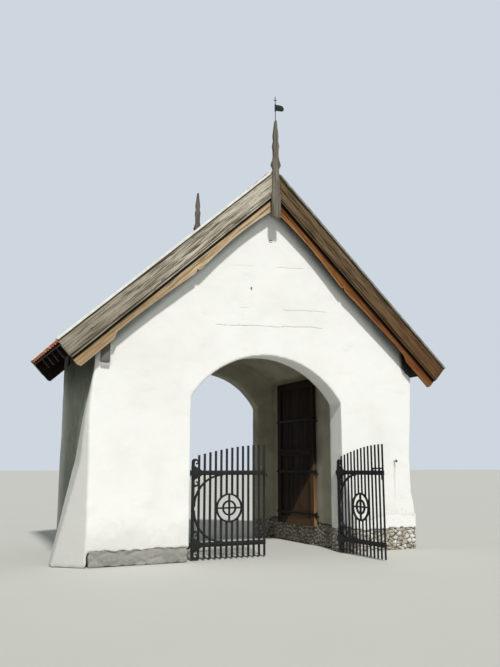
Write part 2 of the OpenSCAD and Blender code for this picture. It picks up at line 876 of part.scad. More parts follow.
// A leaf of upright planks in a frame, drawn as it stands open along the right wall
door_heel = 26;
module door_leaf() {
  h = door_top_z - door_foot_z;
  panel_w = door_l - door_heel - 2*door_frame_w;
  panel_h = (h - 3*door_frame_w)/2;
  translate([0, door_heel, door_foot_z]) cube([plank_t, door_l - door_heel, h]);
  difference() {
    translate([-door_frame_t, door_heel, door_foot_z]) cube([door_frame_t, door_l - door_heel, h]);
    for (i = [0, 1]) translate([-door_frame_t - cut, door_heel + door_frame_w,
      door_foot_z + door_frame_w + i*(panel_h + door_frame_w)])
      cube([door_frame_t + cut, panel_w, panel_h]);
  }
}

door_strap_h = 44;
door_strap_t = 8;
door_strap_out = 18;
module door_straps() {
  for (z = door_strap_z) translate([0, 0, z]) difference() {
    union() {
      translate([0, 0, -eye_h/2]) cylinder(r = eye_r, h = eye_h);
      translate([-door_frame_t - door_strap_t, 0, -door_strap_h/2])
        cube([door_strap_t, door_l + door_strap_out, door_strap_h]);
      translate([-door_frame_t - door_strap_t, 0, -door_strap_h/2])
        cube([door_frame_t + door_strap_t, door_heel, door_strap_h]);
    }
    translate([0, 0, -eye_h/2 - cut]) cylinder(r = pin_r + pin_play, h = eye_h + 2*cut);
  }
}

module place_door(side) {
  translate([masonry_x + side*door_pin_x, front_y + door_pin_y, 0]) on_side(side) children();
}

module left_door_leaf() {
  color(dark_timber) place_door(-1) door_leaf();
}

module left_door_straps() {
  color(iron) place_door(-1) door_straps();
}

module right_door_leaf() {
  color(dark_timber) place_door(1) door_leaf();
}

module right_door_straps() {
  color(iron) place_door(1) door_straps();
}

// An eye hook in the front wall, beside the right gate
hook_x = 2316;
hook_z = 1417;
hook_shank_l = 45;
hook_shank_r = 7;
hook_r = 22;
hook_eye_r = 12;
hook_t = 12;
module wall_hook() {
  color(iron) translate([masonry_x + hook_x, front_y, hook_z]) {
    rotate([90, 0, 0]) cylinder(r = hook_shank_r, h = hook_shank_l);
    translate([-hook_t/2, -hook_shank_l - (hook_r + hook_eye_r)/2, 0]) rotate([0, 90, 0])
      linear_extrude(hook_t) ring(hook_r, hook_r - hook_eye_r);
  }
}

left_plinth();
right_plinth();
front_wall_left();
front_wall_right();
front_gable();
rear_wall_left();
rear_wall_right();
rear_gable();
left_side_wall();
right_side_wall();
passage_vault();
left_buttress();
left_wall_plate();
right_wall_plate();
rafters();
left_roof_boards();
right_roof_boards();
left_roof_tiles();
right_roof_tiles();
ridge_tiles();
front_left_bargeboard();
front_right_bargeboard();
rear_left_bargeboard();
rear_right_bargeboard();
front_scalloped_boards();
rear_scalloped_boards();
front_verge_cap();
rear_verge_cap();
front_finial();
rear_finial();
vane_rod();
weather_vane();
left_gate_leaf();
left_gate_wheel();
left_gate_straps();
left_gate_latch();
right_gate_leaf();
right_gate_wheel();
right_gate_straps();
right_gate_latch();
left_hinge_pins();
right_hinge_pins();
left_door_leaf();
left_door_straps();
right_door_leaf();
right_door_straps();
wall_hook();
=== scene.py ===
import math

import bmesh
import bpy
import numpy as np
from mathutils.kdtree import KDTree
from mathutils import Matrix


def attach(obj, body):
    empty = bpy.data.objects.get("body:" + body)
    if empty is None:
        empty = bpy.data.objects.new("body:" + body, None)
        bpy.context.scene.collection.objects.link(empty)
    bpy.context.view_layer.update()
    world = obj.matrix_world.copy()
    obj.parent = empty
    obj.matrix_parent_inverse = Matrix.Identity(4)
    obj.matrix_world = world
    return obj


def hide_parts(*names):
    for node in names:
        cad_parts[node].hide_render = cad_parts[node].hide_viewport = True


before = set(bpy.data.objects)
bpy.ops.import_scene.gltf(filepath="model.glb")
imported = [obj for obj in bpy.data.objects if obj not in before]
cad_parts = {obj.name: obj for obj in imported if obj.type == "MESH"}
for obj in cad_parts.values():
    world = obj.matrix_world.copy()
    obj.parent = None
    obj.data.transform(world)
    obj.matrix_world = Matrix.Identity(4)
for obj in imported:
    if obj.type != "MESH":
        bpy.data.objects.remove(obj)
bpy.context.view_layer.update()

# The building's sizes, in metres, as the solids have them
FRONT_Y = -1.045
WALL_HALF = 2.74
WALL_D = 2.96
REAR_Y = FRONT_Y + WALL_D
OPENING_HALF = 1.298
CHAMBER_HALF = 1.42
PITCH = math.radians(42.65)
RIDGE_Z = 6.075
SLOPE = 4.518
EAVE_TAPER = 0.23
VERGE_OUT = 0.21
VERGE_BACK = WALL_D + VERGE_OUT
BARGE_T = 0.045
BARGE_W = 0.333
SCALLOP_T = 0.028
SCALLOP_W = 0.512
CAP_T = 0.012
CAP_W = 0.14
LIP_T = 0.025
LIP_H = 0.035
LIP_FROM = 0.137
RIDGE_R = 0.115
V_TILES = 0.0122
V_BOARDS = 0.0852
V_RAFTERS = 0.1102
SEAT = 0.0002
PLINTH_H = 0.2
RIGHT_PLINTH_H = 0.52
RIGHT_JAMB_H = 0.35
RIGHT_LEVEL_W = 0.7
GATE_PIN_Y = 0.11
GATE_PIN_Z = (0.16, 1.18)
DOOR_PIN_X = 1.37
DOOR_PIN_Y = 0.95
DOOR_PIN_Z = (0.46, 1.18, 2.09)
DOOR_Z = (0.32, 2.86)
DOOR_L = 1.345
DOOR_T = 0.03
DOOR_FRAME_W = 0.13
HEEL = 0.026
HEEL_Y = FRONT_Y + DOOR_PIN_Y + HEEL
HOOK_X = 2.316
HOOK_Z = 1.417
# Cracks in the front gable: from x to x, height, rise across and strength
CRACKS = [(0.12, 0.64, 4.49, 0.055, 0.5), (0.24, 1.07, 3.79, 0.055, 0.6), (-0.92, 0.98, 3.46, 0.047, 0.7),
          (-0.66, -0.29, 4.41, 0.12, 0.3), (-0.53, -0.34, 3.75, 0.1, 0.35)]
UP = (0, 0, 1)
BACKWARD = (0, 1, 0)
rng = np.random.default_rng(11)


# Materials

def colour(*rgb):
    """A written sRGB colour from 0 to 255 as the linear colour that a shader takes."""
    return tuple((c / 255 / 12.92 if c <= 10 else ((c / 255 + 0.055) / 1.055) ** 2.4) for c in rgb) + (1,)


class Nodes:
    """A new Principled material, and short calls that add nodes to it."""

    def __init__(self, name, roughness=0.8, gloss=0.15):
        self.material = bpy.data.materials.new(name)
        self.material.use_nodes = True
        self.tree = self.material.node_tree
        self.shader = self.tree.nodes["Principled BSDF"]
        self.shader.inputs["Roughness"].default_value = roughness
        self.shader.inputs["Specular IOR Level"].default_value = gloss
        self.at = self.add("TexCoord", {}, "Object")
        self.x, self.y, self.z = self.parts("SeparateXYZ", self.at)

    def add(self, kind, inputs=None, out=0, **settings):
        node = self.tree.nodes.new("ShaderNode" + kind)
        for key, value in settings.items():
            setattr(node, key, value)
        for key, value in (inputs or {}).items():
            if isinstance(value, bpy.types.NodeSocket):
                self.tree.links.new(value, node.inputs[key])
            else:
                node.inputs[key].default_value = value
        return node.outputs[out]

    def parts(self, kind, value):
        """All outputs of a node that takes a value apart."""
        node = self.tree.nodes.new("ShaderNode" + kind)
        self.tree.links.new(value, node.inputs[0])
        return node.outputs

    def times(self, value, *others):
        for other in others:
            value = self.add("Math", {0: value, 1: other}, operation="MULTIPLY")
        return value

    def plus(self, a, b):
        return self.add("Math", {0: a, 1: b}, operation="ADD")

    def minus(self, a, b):
        return self.add("Math", {0: a, 1: b}, operation="SUBTRACT")

    def most(self, a, b):
        return self.add("Math", {0: a, 1: b}, operation="MAXIMUM")

    def size(self, value):
        """A value without its sign."""
        return self.add("Math", {0: value}, operation="ABSOLUTE")

    def turned(self, turn=(0, 0, 0), scale=(1, 1, 1), shift=None):
        """The place on the object, turned first and scaled after."""
        inputs = {"Vector": self.at, "Rotation": turn}
        if shift is not None:
            inputs["Location"] = shift
        first = self.add("Mapping", inputs)
        return self.add("Mapping", {"Vector": first, "Scale": scale})

    def noise(self, scale, detail=4.0, rough=0.55, twist=0.0, at=None):
        return self.add("TexNoise", {"Vector": at or self.at, "Scale": scale, "Detail": detail,
                                     "Roughness": rough, "Distortion": twist})

    def cells(self, scale):
        """The distance to the nearest of many scattered points."""
        return self.add("TexVoronoi", {"Vector": self.at, "Scale": scale, "Randomness": 1.0}, "Distance")

    def ramp(self, value, *stops):
        node = self.tree.nodes.new("ShaderNodeValToRGB")
        self.tree.links.new(value, node.inputs[0])
        marks = node.color_ramp.elements
        while len(marks) < len(stops):
            marks.new(0.5)
        for mark, (place, paint) in zip(marks, stops):
            mark.position = place
            mark.color = paint
        return node.outputs[0]

    def tints(self, value, colours):
        """Written colours at even steps of a value."""
        return self.ramp(value, *((k / (len(colours) - 1), colour(*c)) for k, c in enumerate(colours)))

    def span(self, value, low, high, to_low=0.0, to_high=1.0):
        return self.add("MapRange", {"Value": value, "From Min": low, "From Max": high,
                                     "To Min": to_low, "To Max": to_high},
                        interpolation_type="SMOOTHSTEP")

    def mix(self, share, a, b, how="MIX"):
        return self.add("Mix", {0: share, 6: a, 7: b}, 2, data_type="RGBA", blend_type=how)

    def below(self, side):
        """How far a place lies square below the line of a roof slope."""
        drop = self.times(self.minus(RIDGE_Z, self.z), math.cos(PITCH))
        return self.minus(drop, self.times(self.x, side * math.sin(PITCH)))

    def near(self, value, middle, reach, share=1.0):
        """A band about a middle value, fading out at its reach."""
        off = self.size(self.minus(value, middle))
        return self.span(off, reach * 0.4, reach, share, 0)

    def paint(self):
        """The piece's own marks. Red is the tint of a board, tile or stone, green a sawn face, or stone
        between mortar, and blue an underside painted dark as shade, or plaster that covers stones."""
        return self.parts("SeparateColor", self.add("Attribute", {}, "Color", attribute_name="paint"))

    def bump(self, height, depth, strength):
        return self.add("Bump", {"Height": height, "Distance": depth, "Strength": strength})

    def done(self, base, rough=None, normal=None):
        self.tree.links.new(base, self.shader.inputs["Base Color"])
        if rough is not None:
            self.tree.links.new(rough, self.shader.inputs["Roughness"])
        if normal is not None:
            self.tree.links.new(normal, self.shader.inputs["Normal"])
        return self.material


FRESH_LIME = colour(246, 246, 243)


def on_front(n):
    """1 on the front face and 0 behind it."""
    return n.span(n.y, FRONT_Y + 0.02, FRONT_Y + 0.06, 1, 0)


def hair_cracks(n):
    """Level hair cracks in the front gable, as a mask."""
    broad, fine = 0.07, 0.03
    wander = n.plus(n.times(n.noise(2.1, 2), broad), n.times(n.noise(11, 4, 0.7), fine))
    crack = 0.0
    for x0, x1, level, rise, strength in CRACKS:
        height = n.minus(n.plus(n.z, wander), n.times(n.x, rise))
        off = n.size(n.minus(height, level - rise * x0 + (broad + fine) / 2))
        reach = n.times(n.span(n.x, x0 - 0.03, x0 + 0.05), n.span(n.x, x1 - 0.05, x1 + 0.03, 1, 0))
        crack = n.most(crack, n.times(n.span(off, 0.002, 0.009, strength, 0), reach))
    return n.times(crack, on_front(n), n.span(n.noise(17, 3), 0.3, 0.5, 0.45, 1))


def soiled_foot(n, base):
    """Worn flecks low on the right pier, and soil splashed up from the ground."""
    low = n.times(n.span(n.z, 0.35, 1.25, 1, 0), n.span(n.x, 1.4, 2.2))
    worn = n.times(low, n.span(n.noise(26, 5, 0.7), 0.56, 0.64))
    base = n.mix(n.times(worn, 0.6), base, colour(178, 166, 150))
    ragged = n.plus(n.z, n.times(n.noise(3.2, 5, 0.7), -0.9))
    splash = n.times(n.span(ragged, -0.28, 0.22, 1, 0), 0.3)
    return n.mix(splash, base, colour(176, 173, 158))


def passage_coats_and_shade(n, base):
    """The chamber's darker coats, up to its vault and through to the rear reveal: partly older limewash, and
    partly painted shade for the dim passage.
    """
    within = n.span(n.size(n.x), CHAMBER_HALF + 0.02, CHAMBER_HALF + 0.08, 1, 0)
    low = n.span(n.z, 3.45, 3.5, 1, 0)
    begun = n.span(n.y, FRONT_Y + 0.3, FRONT_Y + 0.42)
    ended = n.span(n.y, REAR_Y - 0.05, REAR_Y - 0.02, 1, 0)
    coat = n.mix(n.span(n.noise(1.7, 5, 0.6), 0.35, 0.7), colour(158, 152, 128), colour(128, 122, 98))
    return n.mix(n.times(within, begun, low, ended, 0.85), base, coat)


def left_flank(n):
    """The shaded left flank, as a mask with a slanting front edge."""
    edge = n.minus(n.y, n.span(n.z, 0.9, 2.7, FRONT_Y + 0.5, FRONT_Y + 0.03))
    return n.times(n.span(n.x, -2.64, -2.54, 1, 0), n.span(edge, -0.01, 0.05))


def flank_growth_and_shade(n, base, flank):
    """A greyer left corner, painted as shade, and green-grey on the flank: some growth, and mostly painted
    shade.
    """
    corner = n.times(n.span(n.x, -2.66, -2.6, 0.85, 0), n.span(n.y, FRONT_Y + 0.012, FRONT_Y + 0.04))
    base = n.mix(corner, base, colour(202, 202, 197))
    # The flank's green-grey: some growth, and mostly painted shade.
    growth = n.mix(n.span(n.noise(4, 6, 0.7), 0.35, 0.7), colour(122, 130, 114), colour(96, 104, 88))
    return n.mix(n.times(flank, 0.9), base, growth)


def dirty_top(n, base, flank):
    """Painted shade close under the verge boards, and on the flank under the left eave."""
    dirt = n.most(n.span(n.below(-1), 0.48, 0.58, 0.75, 0), n.span(n.below(1), 0.38, 0.57, 0.9, 0))
    dirt = n.times(dirt, n.span(n.noise(5, 4, 0.6), 0.2, 0.6, 0.8, 1))
    base = n.mix(dirt, base, colour(118, 119, 117))
    return n.mix(n.times(flank, n.span(n.below(-1), 0.55, 1.0, 0.8, 0)), base, colour(44, 46, 34))


def painted_eave_corners(n, base):
    """Painted shade: near black on the wall under the right eave, and dark grey on the corbel under the left
    one.
    """
    ragged = n.minus(n.below(1), n.times(n.noise(13, 5, 0.7), 0.1))
    eave_shadow = n.times(n.span(n.x, 2.48, 2.58), on_front(n), n.span(ragged, 0.49, 0.505, 0.95, 0))
    stub = n.times(n.span(n.y, FRONT_Y - 0.045, FRONT_Y - 0.025, 0.9, 0), n.span(n.z, 2.6, 2.7))
    eave_dark = n.mix(n.span(n.x, 0, 1), colour(84, 80, 70), colour(24, 20, 15))
    return n.mix(n.most(eave_shadow, stub), base, eave_dark)


def rust_run(n, base):
    """A faint run of rust under the eye hook."""
    run = n.times(n.span(n.size(n.minus(n.x, HOOK_X)), 0.008, 0.03, 1, 0), n.span(n.z, 0.55, 1.4))
    run = n.times(run, n.span(n.z, HOOK_Z - 0.037, HOOK_Z + 0.023, 1, 0), on_front(n))
    return n.mix(n.times(run, 0.3), base, colour(168, 156, 140))


def limewash():
    """Uneven coats of limewash with all their marks, and painted shade under the eaves, on the left flank
    and in the passage.
    """
    n = Nodes("limewash", 0.9, 0.05)
    coats = n.noise(2.6, 6, 0.65, at=n.turned(scale=(1, 1, 2.2)))
    grit = n.noise(34, 5, 0.7)
    crack = hair_cracks(n)
    flank = left_flank(n)
    base = n.mix(n.span(n.noise(0.9, 5, 0.6, 0.3), 0.42, 0.68), FRESH_LIME, colour(240, 240, 236))
    base = n.mix(n.span(coats, 0.55, 0.75, 0, 0.4), base, colour(230, 229, 223))
    base = n.mix(crack, base, colour(164, 164, 156))
    base = soiled_foot(n, base)
    base = passage_coats_and_shade(n, base)
    base = flank_growth_and_shade(n, base, flank)
    base = dirty_top(n, base, flank)
    base = painted_eave_corners(n, base)
    base = rust_run(n, base)
    height = n.plus(n.noise(7, 6, 0.6), n.times(grit, 0.22))
    height = n.minus(height, n.times(crack, 0.5))
    return n.done(base, n.span(grit, 0.3, 0.7, 0.82, 0.96), n.bump(height, 0.010, 0.5))


def rubble(name, mortar, damp, washed, *stones):
    """Fieldstones in mortar, damp at the foot, partly washed over with lime, and darker in the passage with
    dirt and painted shade.
    """
    n = Nodes(name, 0.9)
    red, green, blue = n.paint()
    grain = n.noise(26, 6, 0.7)
    stone = n.tints(red, stones)
    stone = n.mix(n.span(grain, 0.3, 0.75), n.mix(0.3, stone, colour(90, 86, 78)), stone)
    stone = n.mix(n.span(n.cells(160), 0.1, 0.35, 0.35, 0), stone, colour(226, 220, 208))
    wash_from = 0.59 - washed * 0.12
    wash = n.span(n.noise(7, 5, 0.65), wash_from, wash_from + 0.08, 0, washed)
    base = n.mix(green, mortar, n.mix(wash, stone, colour(228, 226, 218)))
    base = n.mix(n.span(n.noise(60, 3, 0.8), 0.56, 0.64, 0, 0.3), base, colour(92, 90, 84))
    moss = n.times(n.span(n.z, 0.02, 0.3, 1, 0), n.span(n.noise(5, 6, 0.7), 0.46, 0.66))
    base = n.mix(n.times(moss, damp), base, colour(88, 92, 62))
    # Darker stones in the passage: dirt, and painted shade.
    indoors = n.span(n.size(n.x), CHAMBER_HALF + 0.02, CHAMBER_HALF + 0.06, 0.55, 0)
    indoors = n.times(indoors, n.span(n.y, FRONT_Y + 0.1, FRONT_Y + 0.5))
    base = n.mix(indoors, base, colour(74, 67, 54))
    flecks = n.span(n.noise(26, 5, 0.7), 0.56, 0.66, 0, 0.45)
    base = n.mix(blue, base, n.mix(flecks, FRESH_LIME, colour(186, 178, 164)))
    # A dark band along the edge of the plaster over the stones: painted shadow under that edge.
    base = n.mix(n.near(blue, 0.3, 0.3, 0.8), base, colour(48, 43, 36))
    height = n.plus(grain, n.times(n.noise(90, 3, 0.7), 0.3))
    return n.done(base, n.span(grain, 0.3, 0.7, 0.75, 0.97), n.bump(height, 0.006, 0.7))


def painted_sunlit_patch(n, paint, grain, base, sunlit_tint):
    """A painted patch of sunlight on the corner of the right door that the sun reaches, and a painted
    highlight on its lit heel.
    """
    edge = n.plus(n.plus(n.z, n.times(n.y, 1.01)), n.times(n.noise(9, 3), 0.05))
    right = n.span(n.x, 0, 1)
    # The sunlit corner: painted light, lighter wood below a slanting edge.
    sunny = n.times(n.span(edge, 1.30, 1.345, 1, 0), right)
    paint = n.mix(sunny, paint, n.mix(n.span(grain, 0.35, 0.65, 0.5, 0), sunlit_tint, base))
    # The heel's narrow face: a painted highlight.
    heel = n.times(n.span(n.y, HEEL_Y + 0.002, HEEL_Y + 0.006, 1, 0), n.span(n.z, 0.3, 1.45, 0.9, 0))
    return n.mix(n.times(heel, right), paint, colour(152, 118, 80))


def wood(name, turn, dark, base, pale, sawn, cracks=0.8, wear=0.5, spread=0.24, streaks=0.2, side=1,
         shade_bands=(), low_dark=None, sunlit_tint=None):
    """Boards with their grain along the turned X: weathering, checks, a sawn colour on cut faces, painted
    shade on undersides and in strips at some depths below a roof slope, a darker low end, and painted
    sunlight on a corner."""
    n = Nodes(name)
    dark, base, pale, sawn = (colour(*c) for c in (dark, base, pale, sawn))
    red, green, blue = n.paint()
    apart = n.add("CombineXYZ", {0: n.times(red, 31), 1: n.times(red, 17), 2: n.times(red, 23)})

    def drawn(long, fine, detail, rough, twist):
        """Noise drawn out along the grain, another one on each board."""
        return n.noise(1, detail, rough, twist, n.turned(turn, (long, fine, fine), apart))
    grain = drawn(1.1, 24, 8, 0.62, 0.35)
    fibre = drawn(5, 190, 4, 0.7, 0)
    broad = drawn(0.9, 4.5, 5, 0.6, 0.5)
    streak = drawn(2.4, 52, 3, 0.6, 0.2)
    paint = n.ramp(grain, (0.46 - spread, dark), (0.46, base), (0.46 + spread, pale))
    paint = n.mix(n.span(broad, 0.4, 0.7, 0, wear), paint, pale)
    paint = n.mix(n.span(drawn(0.7, 9, 5, 0.6, 0.2), 0.54, 0.7, 0, wear), paint, dark)
    paint = n.mix(n.span(fibre, 0.35, 0.75, 0.28, 0), paint, dark, "MULTIPLY")
    paint = n.mix(n.span(streak, 0.5, 0.6, 0, streaks), paint, pale)
    paint = n.mix(n.span(streak, 0.38, 0.48, streaks, 0), paint, dark)
    line = n.size(n.minus(drawn(0.45, 17, 3, 0.5, 0.2), 0.5))
    check = n.times(n.span(line, 0.0, 0.016, 1, 0), n.span(broad, 0.42, 0.54))
    paint = n.mix(n.times(check, cracks), paint, colour(26, 20, 15))
    paint = n.mix(n.times(green, 0.85), paint, n.mix(n.span(fibre, 0.3, 0.7), sawn, base))
    tone = n.span(red, 0, 1, 0.82, 1.14)
    paint = n.mix(1.0, paint, n.add("CombineColor", {0: tone, 1: tone, 2: tone}), "MULTIPLY")
    if low_dark is not None:
        paint = n.mix(n.span(n.z, 3.3, 4.4, 0.5, 0), paint, colour(*low_dark))
    if sunlit_tint is not None:
        paint = painted_sunlit_patch(n, paint, grain, base, colour(*sunlit_tint))
    # Undersides and strips below the slope darkened near black: painted shade.
    painted_shade = n.times(blue, 0.95)
    for middle, reach, share in shade_bands:
        painted_shade = n.most(painted_shade, n.near(n.below(side), middle, reach, share))
    paint = n.mix(painted_shade, paint, colour(14, 11, 8))
    height = n.plus(grain, n.times(fibre, 0.3))
    height = n.minus(height, n.times(check, 1.4))
    return n.done(paint, n.span(grain, 0.3, 0.7, 0.92, 0.72), n.bump(height, 0.006, 0.8))


def fired_clay():
    """Orange clay with spots of growth, and a paler broken face."""
    n = Nodes("fired_clay", 0.82, 0.3)
    red, green = n.paint()[:2]
    spots = n.noise(19, 6, 0.7)
    clay = n.tints(red, ((140, 70, 42), (176, 92, 54), (190, 108, 66), (162, 84, 52), (206, 132, 88)))
    clay = n.mix(n.span(n.noise(3.1, 5, 0.6), 0.4, 0.7, 0, 0.55), clay, colour(132, 74, 50))
    clay = n.mix(n.span(spots, 0.6, 0.74, 0, 0.65), clay, colour(96, 84, 66))
    clay = n.mix(n.span(n.cells(46), 0.06, 0.16, 0.55, 0), clay, colour(198, 190, 160))
    broken = n.mix(n.span(spots, 0.35, 0.7), colour(232, 178, 150), colour(206, 138, 104))
    clay = n.mix(n.times(green, 0.8), clay, broken)
    height = n.plus(n.noise(60, 5, 0.7), n.times(spots, 0.8))
    return n.done(clay, n.span(spots, 0.3, 0.7, 0.72, 0.92), n.bump(height, 0.003, 0.6))


def black_iron(name, gloss, new, worn):
    """Painted iron with worn places and some rust."""
    n = Nodes(name, gloss=gloss)
    scale = n.noise(24, 6, 0.68)
    coat = n.mix(n.span(n.noise(6, 5, 0.6), 0.35, 0.7), new, worn)
    coat = n.mix(n.span(scale, 0.64, 0.76, 0, 0.6), coat, colour(74, 48, 34))
    height = n.plus(n.noise(80, 5, 0.7), n.times(n.noise(15, 3, 0.5), 1.6))
    return n.done(coat, n.span(scale, 0.35, 0.7, 0.55, 0.8), n.bump(height, 0.0016, 0.8))


def capping(name, light, dark):
    """A smooth strip over a verge, streaked and spotted."""
    n = Nodes(name, 0.6, 0.4)
    streak = n.noise(1, 6, 0.65, 0.3, n.turned(scale=(7, 7, 7)))
    coat = n.mix(n.span(streak, 0.35, 0.68), light, dark)
    coat = n.mix(n.span(n.noise(38, 5, 0.7), 0.6, 0.72, 0, 0.6), coat, colour(104, 98, 88))
    return n.done(coat, n.span(streak, 0.3, 0.7, 0.5, 0.8), n.bump(n.noise(30, 5, 0.6), 0.002, 0.5))


TURN = {-1: (0, PITCH, 0), 1: (0, -PITCH, 0)}
UPRIGHT = (0, math.pi / 2, 0)
ALONG_Y = (0, 0, -math.pi / 2)
# Strips of painted shade on the verge's boards, under the capping's lip and along the bead's groove: depth
# below the slope, reach and strength
VERGE_SHADE_BANDS = ((0.036, 0.022, 0.75), (BARGE_W - 0.03, 0.012, 0.6))
# The scalloped boards darkened just under the bargeboard: painted shadow of the bargeboard.
SCALLOP_SHADE = ((BARGE_W, 0.055, 0.96),)
LIMEWASH = limewash()
STONE_LEFT = rubble("grey_rubble", colour(156, 155, 149), 0.2, 0.1, (160, 159, 153), (172, 170, 162),
                    (164, 162, 155), (152, 151, 145), (178, 176, 168))
STONE_RIGHT = rubble("mixed_rubble", colour(66, 60, 49), 0.3, 0.95, (160, 156, 144), (208, 203, 190),
                     (190, 180, 162), (176, 168, 152), (224, 220, 208))
MORTAR = rubble("ridge_mortar", colour(176, 170, 158), 0.2, 0, (176, 170, 158), (160, 154, 142))
CLAY = fired_clay()
IRON = black_iron("black_iron", 0.35, colour(27, 28, 26), colour(15, 16, 15))
TARRED_IRON = black_iron("tarred_iron", 0.15, colour(23, 20, 16), colour(16, 14, 12))
BARGE = {
    -1: wood("weathered_boards", TURN[-1], (82, 72, 57), (162, 152, 134),
             (216, 208, 190), (206, 198, 180), 0.9, spread=0.11, streaks=0.6, side=-1,
             shade_bands=VERGE_SHADE_BANDS, low_dark=(96, 86, 70)),
    1: wood("tarred_boards", TURN[1], (32, 24, 15), (82, 67, 47), (122, 101, 73),
            (88, 72, 50), 0.9, spread=0.13, streaks=0.55, shade_bands=VERGE_SHADE_BANDS,
            low_dark=(92, 58, 32))}
SCALLOP = {
    -1: wood("tan_boards", TURN[-1], (112, 88, 58), (180, 150, 112), (212, 190, 158),
             (216, 210, 194), 0.7, wear=0.35, spread=0.13, streaks=0.5, side=-1, shade_bands=SCALLOP_SHADE,
             low_dark=(132, 104, 68)),
    1: wood("brown_boards", TURN[1], (46, 25, 11), (106, 62, 27), (152, 96, 46),
            (190, 158, 112), 0.7, wear=0.35, spread=0.14, streaks=0.5, shade_bands=SCALLOP_SHADE,
            low_dark=(104, 52, 22))}
FINIAL = wood("grey_posts", UPRIGHT, (62, 55, 46), (114, 106, 94), (152, 146, 134),
              (150, 140, 122), streaks=0.4)
# The roof boards' undersides, seen under the eaves, are coloured near black: painted shade.
SOFFIT = wood("dark_roof_boards", ALONG_Y, (24, 18, 13), (40, 31, 22), (58, 46, 34),
              (64, 52, 38), wear=0.3)
ROOF_BEAM = wood("dark_beams", ALONG_Y, (44, 34, 25), (78, 62, 46), (108, 92, 72),
                 (128, 110, 88), wear=0.35)
# The rafters are coloured near black: painted shade under the eaves.
RAFTER = wood("dark_rafters_a", TURN[-1], (20, 15, 11), (32, 25, 18), (46, 37, 28),
              (58, 48, 36), wear=0.3)
# The door's planks and rails carry a painted patch of sunlight, in their last colour.
DOOR = wood("tarred_planks", UPRIGHT, (20, 16, 12), (38, 30, 22), (56, 44, 32),
            (70, 56, 40), 0.6, wear=0.3, sunlit_tint=(92, 70, 47))
DOOR_LEVEL = wood("tarred_rails", ALONG_Y, (21, 17, 12), (40, 31, 23), (58, 45, 33),
                  (72, 57, 41), 0.6, wear=0.3, sunlit_tint=(96, 74, 50))
# One capping in two colours: the left one painted lit and pale, the right one painted shaded and grey.
CAP = {-1: capping("pale_capping", colour(240, 239, 232), colour(216, 214, 204)),
       1: capping("grey_capping", colour(150, 150, 141), colour(108, 108, 98))}


# Mesh helpers

def field(points, scale, seed):
    """Smooth noise from -1 to 1 at each point, the same on each run."""
    q = points * scale + seed * 17.31
    cell = np.floor(q).astype(np.int64)
    part = q - cell
    part = part * part * (3 - 2 * part)
    total = np.zeros(len(points))
    for corner in range(8):
        step = np.array([corner & 1, corner >> 1 & 1, corner >> 2 & 1])
        mixed = ((cell + step) * np.array([73856093, 19349663, 83492791])).sum(1) + seed * 2654435
        mixed = (mixed ^ (mixed >> 13)) * 1274126177 & 0x7FFFFFFF
        value = (mixed ^ (mixed >> 15)) % 65536 / 32767.5 - 1
        total += value * np.where(step == 1, part, 1 - part).prod(1)
    return total


def smooth_step(value, low, high):
    t = np.clip((value - low) / (high - low), 0, 1)
    return t * t * (3 - 2 * t)


def read(mesh, what):
    """Each vertex's place (co) or normal."""
    flat = np.empty(len(mesh.vertices) * 3)
    mesh.vertices.foreach_get(what, flat)
    return flat.reshape(-1, 3)


def placed(name, data):
    """A new object in the scene."""
    made = bpy.data.objects.new(name, data)
    bpy.context.scene.collection.objects.link(made)
    return made


def mark(mesh, domain, marks):
    """Writes the piece's own marks, which its material reads."""
    layer = mesh.attributes.new("paint", "FLOAT_COLOR", domain)
    layer.data.foreach_set("color", np.array(marks, np.float32).ravel())


def show(mesh, name, body, material, stands_for=(), angle=35):
    """Puts a finished mesh in the scene, on its body."""
    mesh.polygons.foreach_set("use_smooth", [True] * len(mesh.polygons))
    mesh.set_sharp_from_angle(angle=math.radians(angle))
    mesh.materials.clear()
    mesh.materials.append(material)
    piece = placed(name, mesh)
    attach(piece, body)
    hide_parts(*stands_for)
    return piece


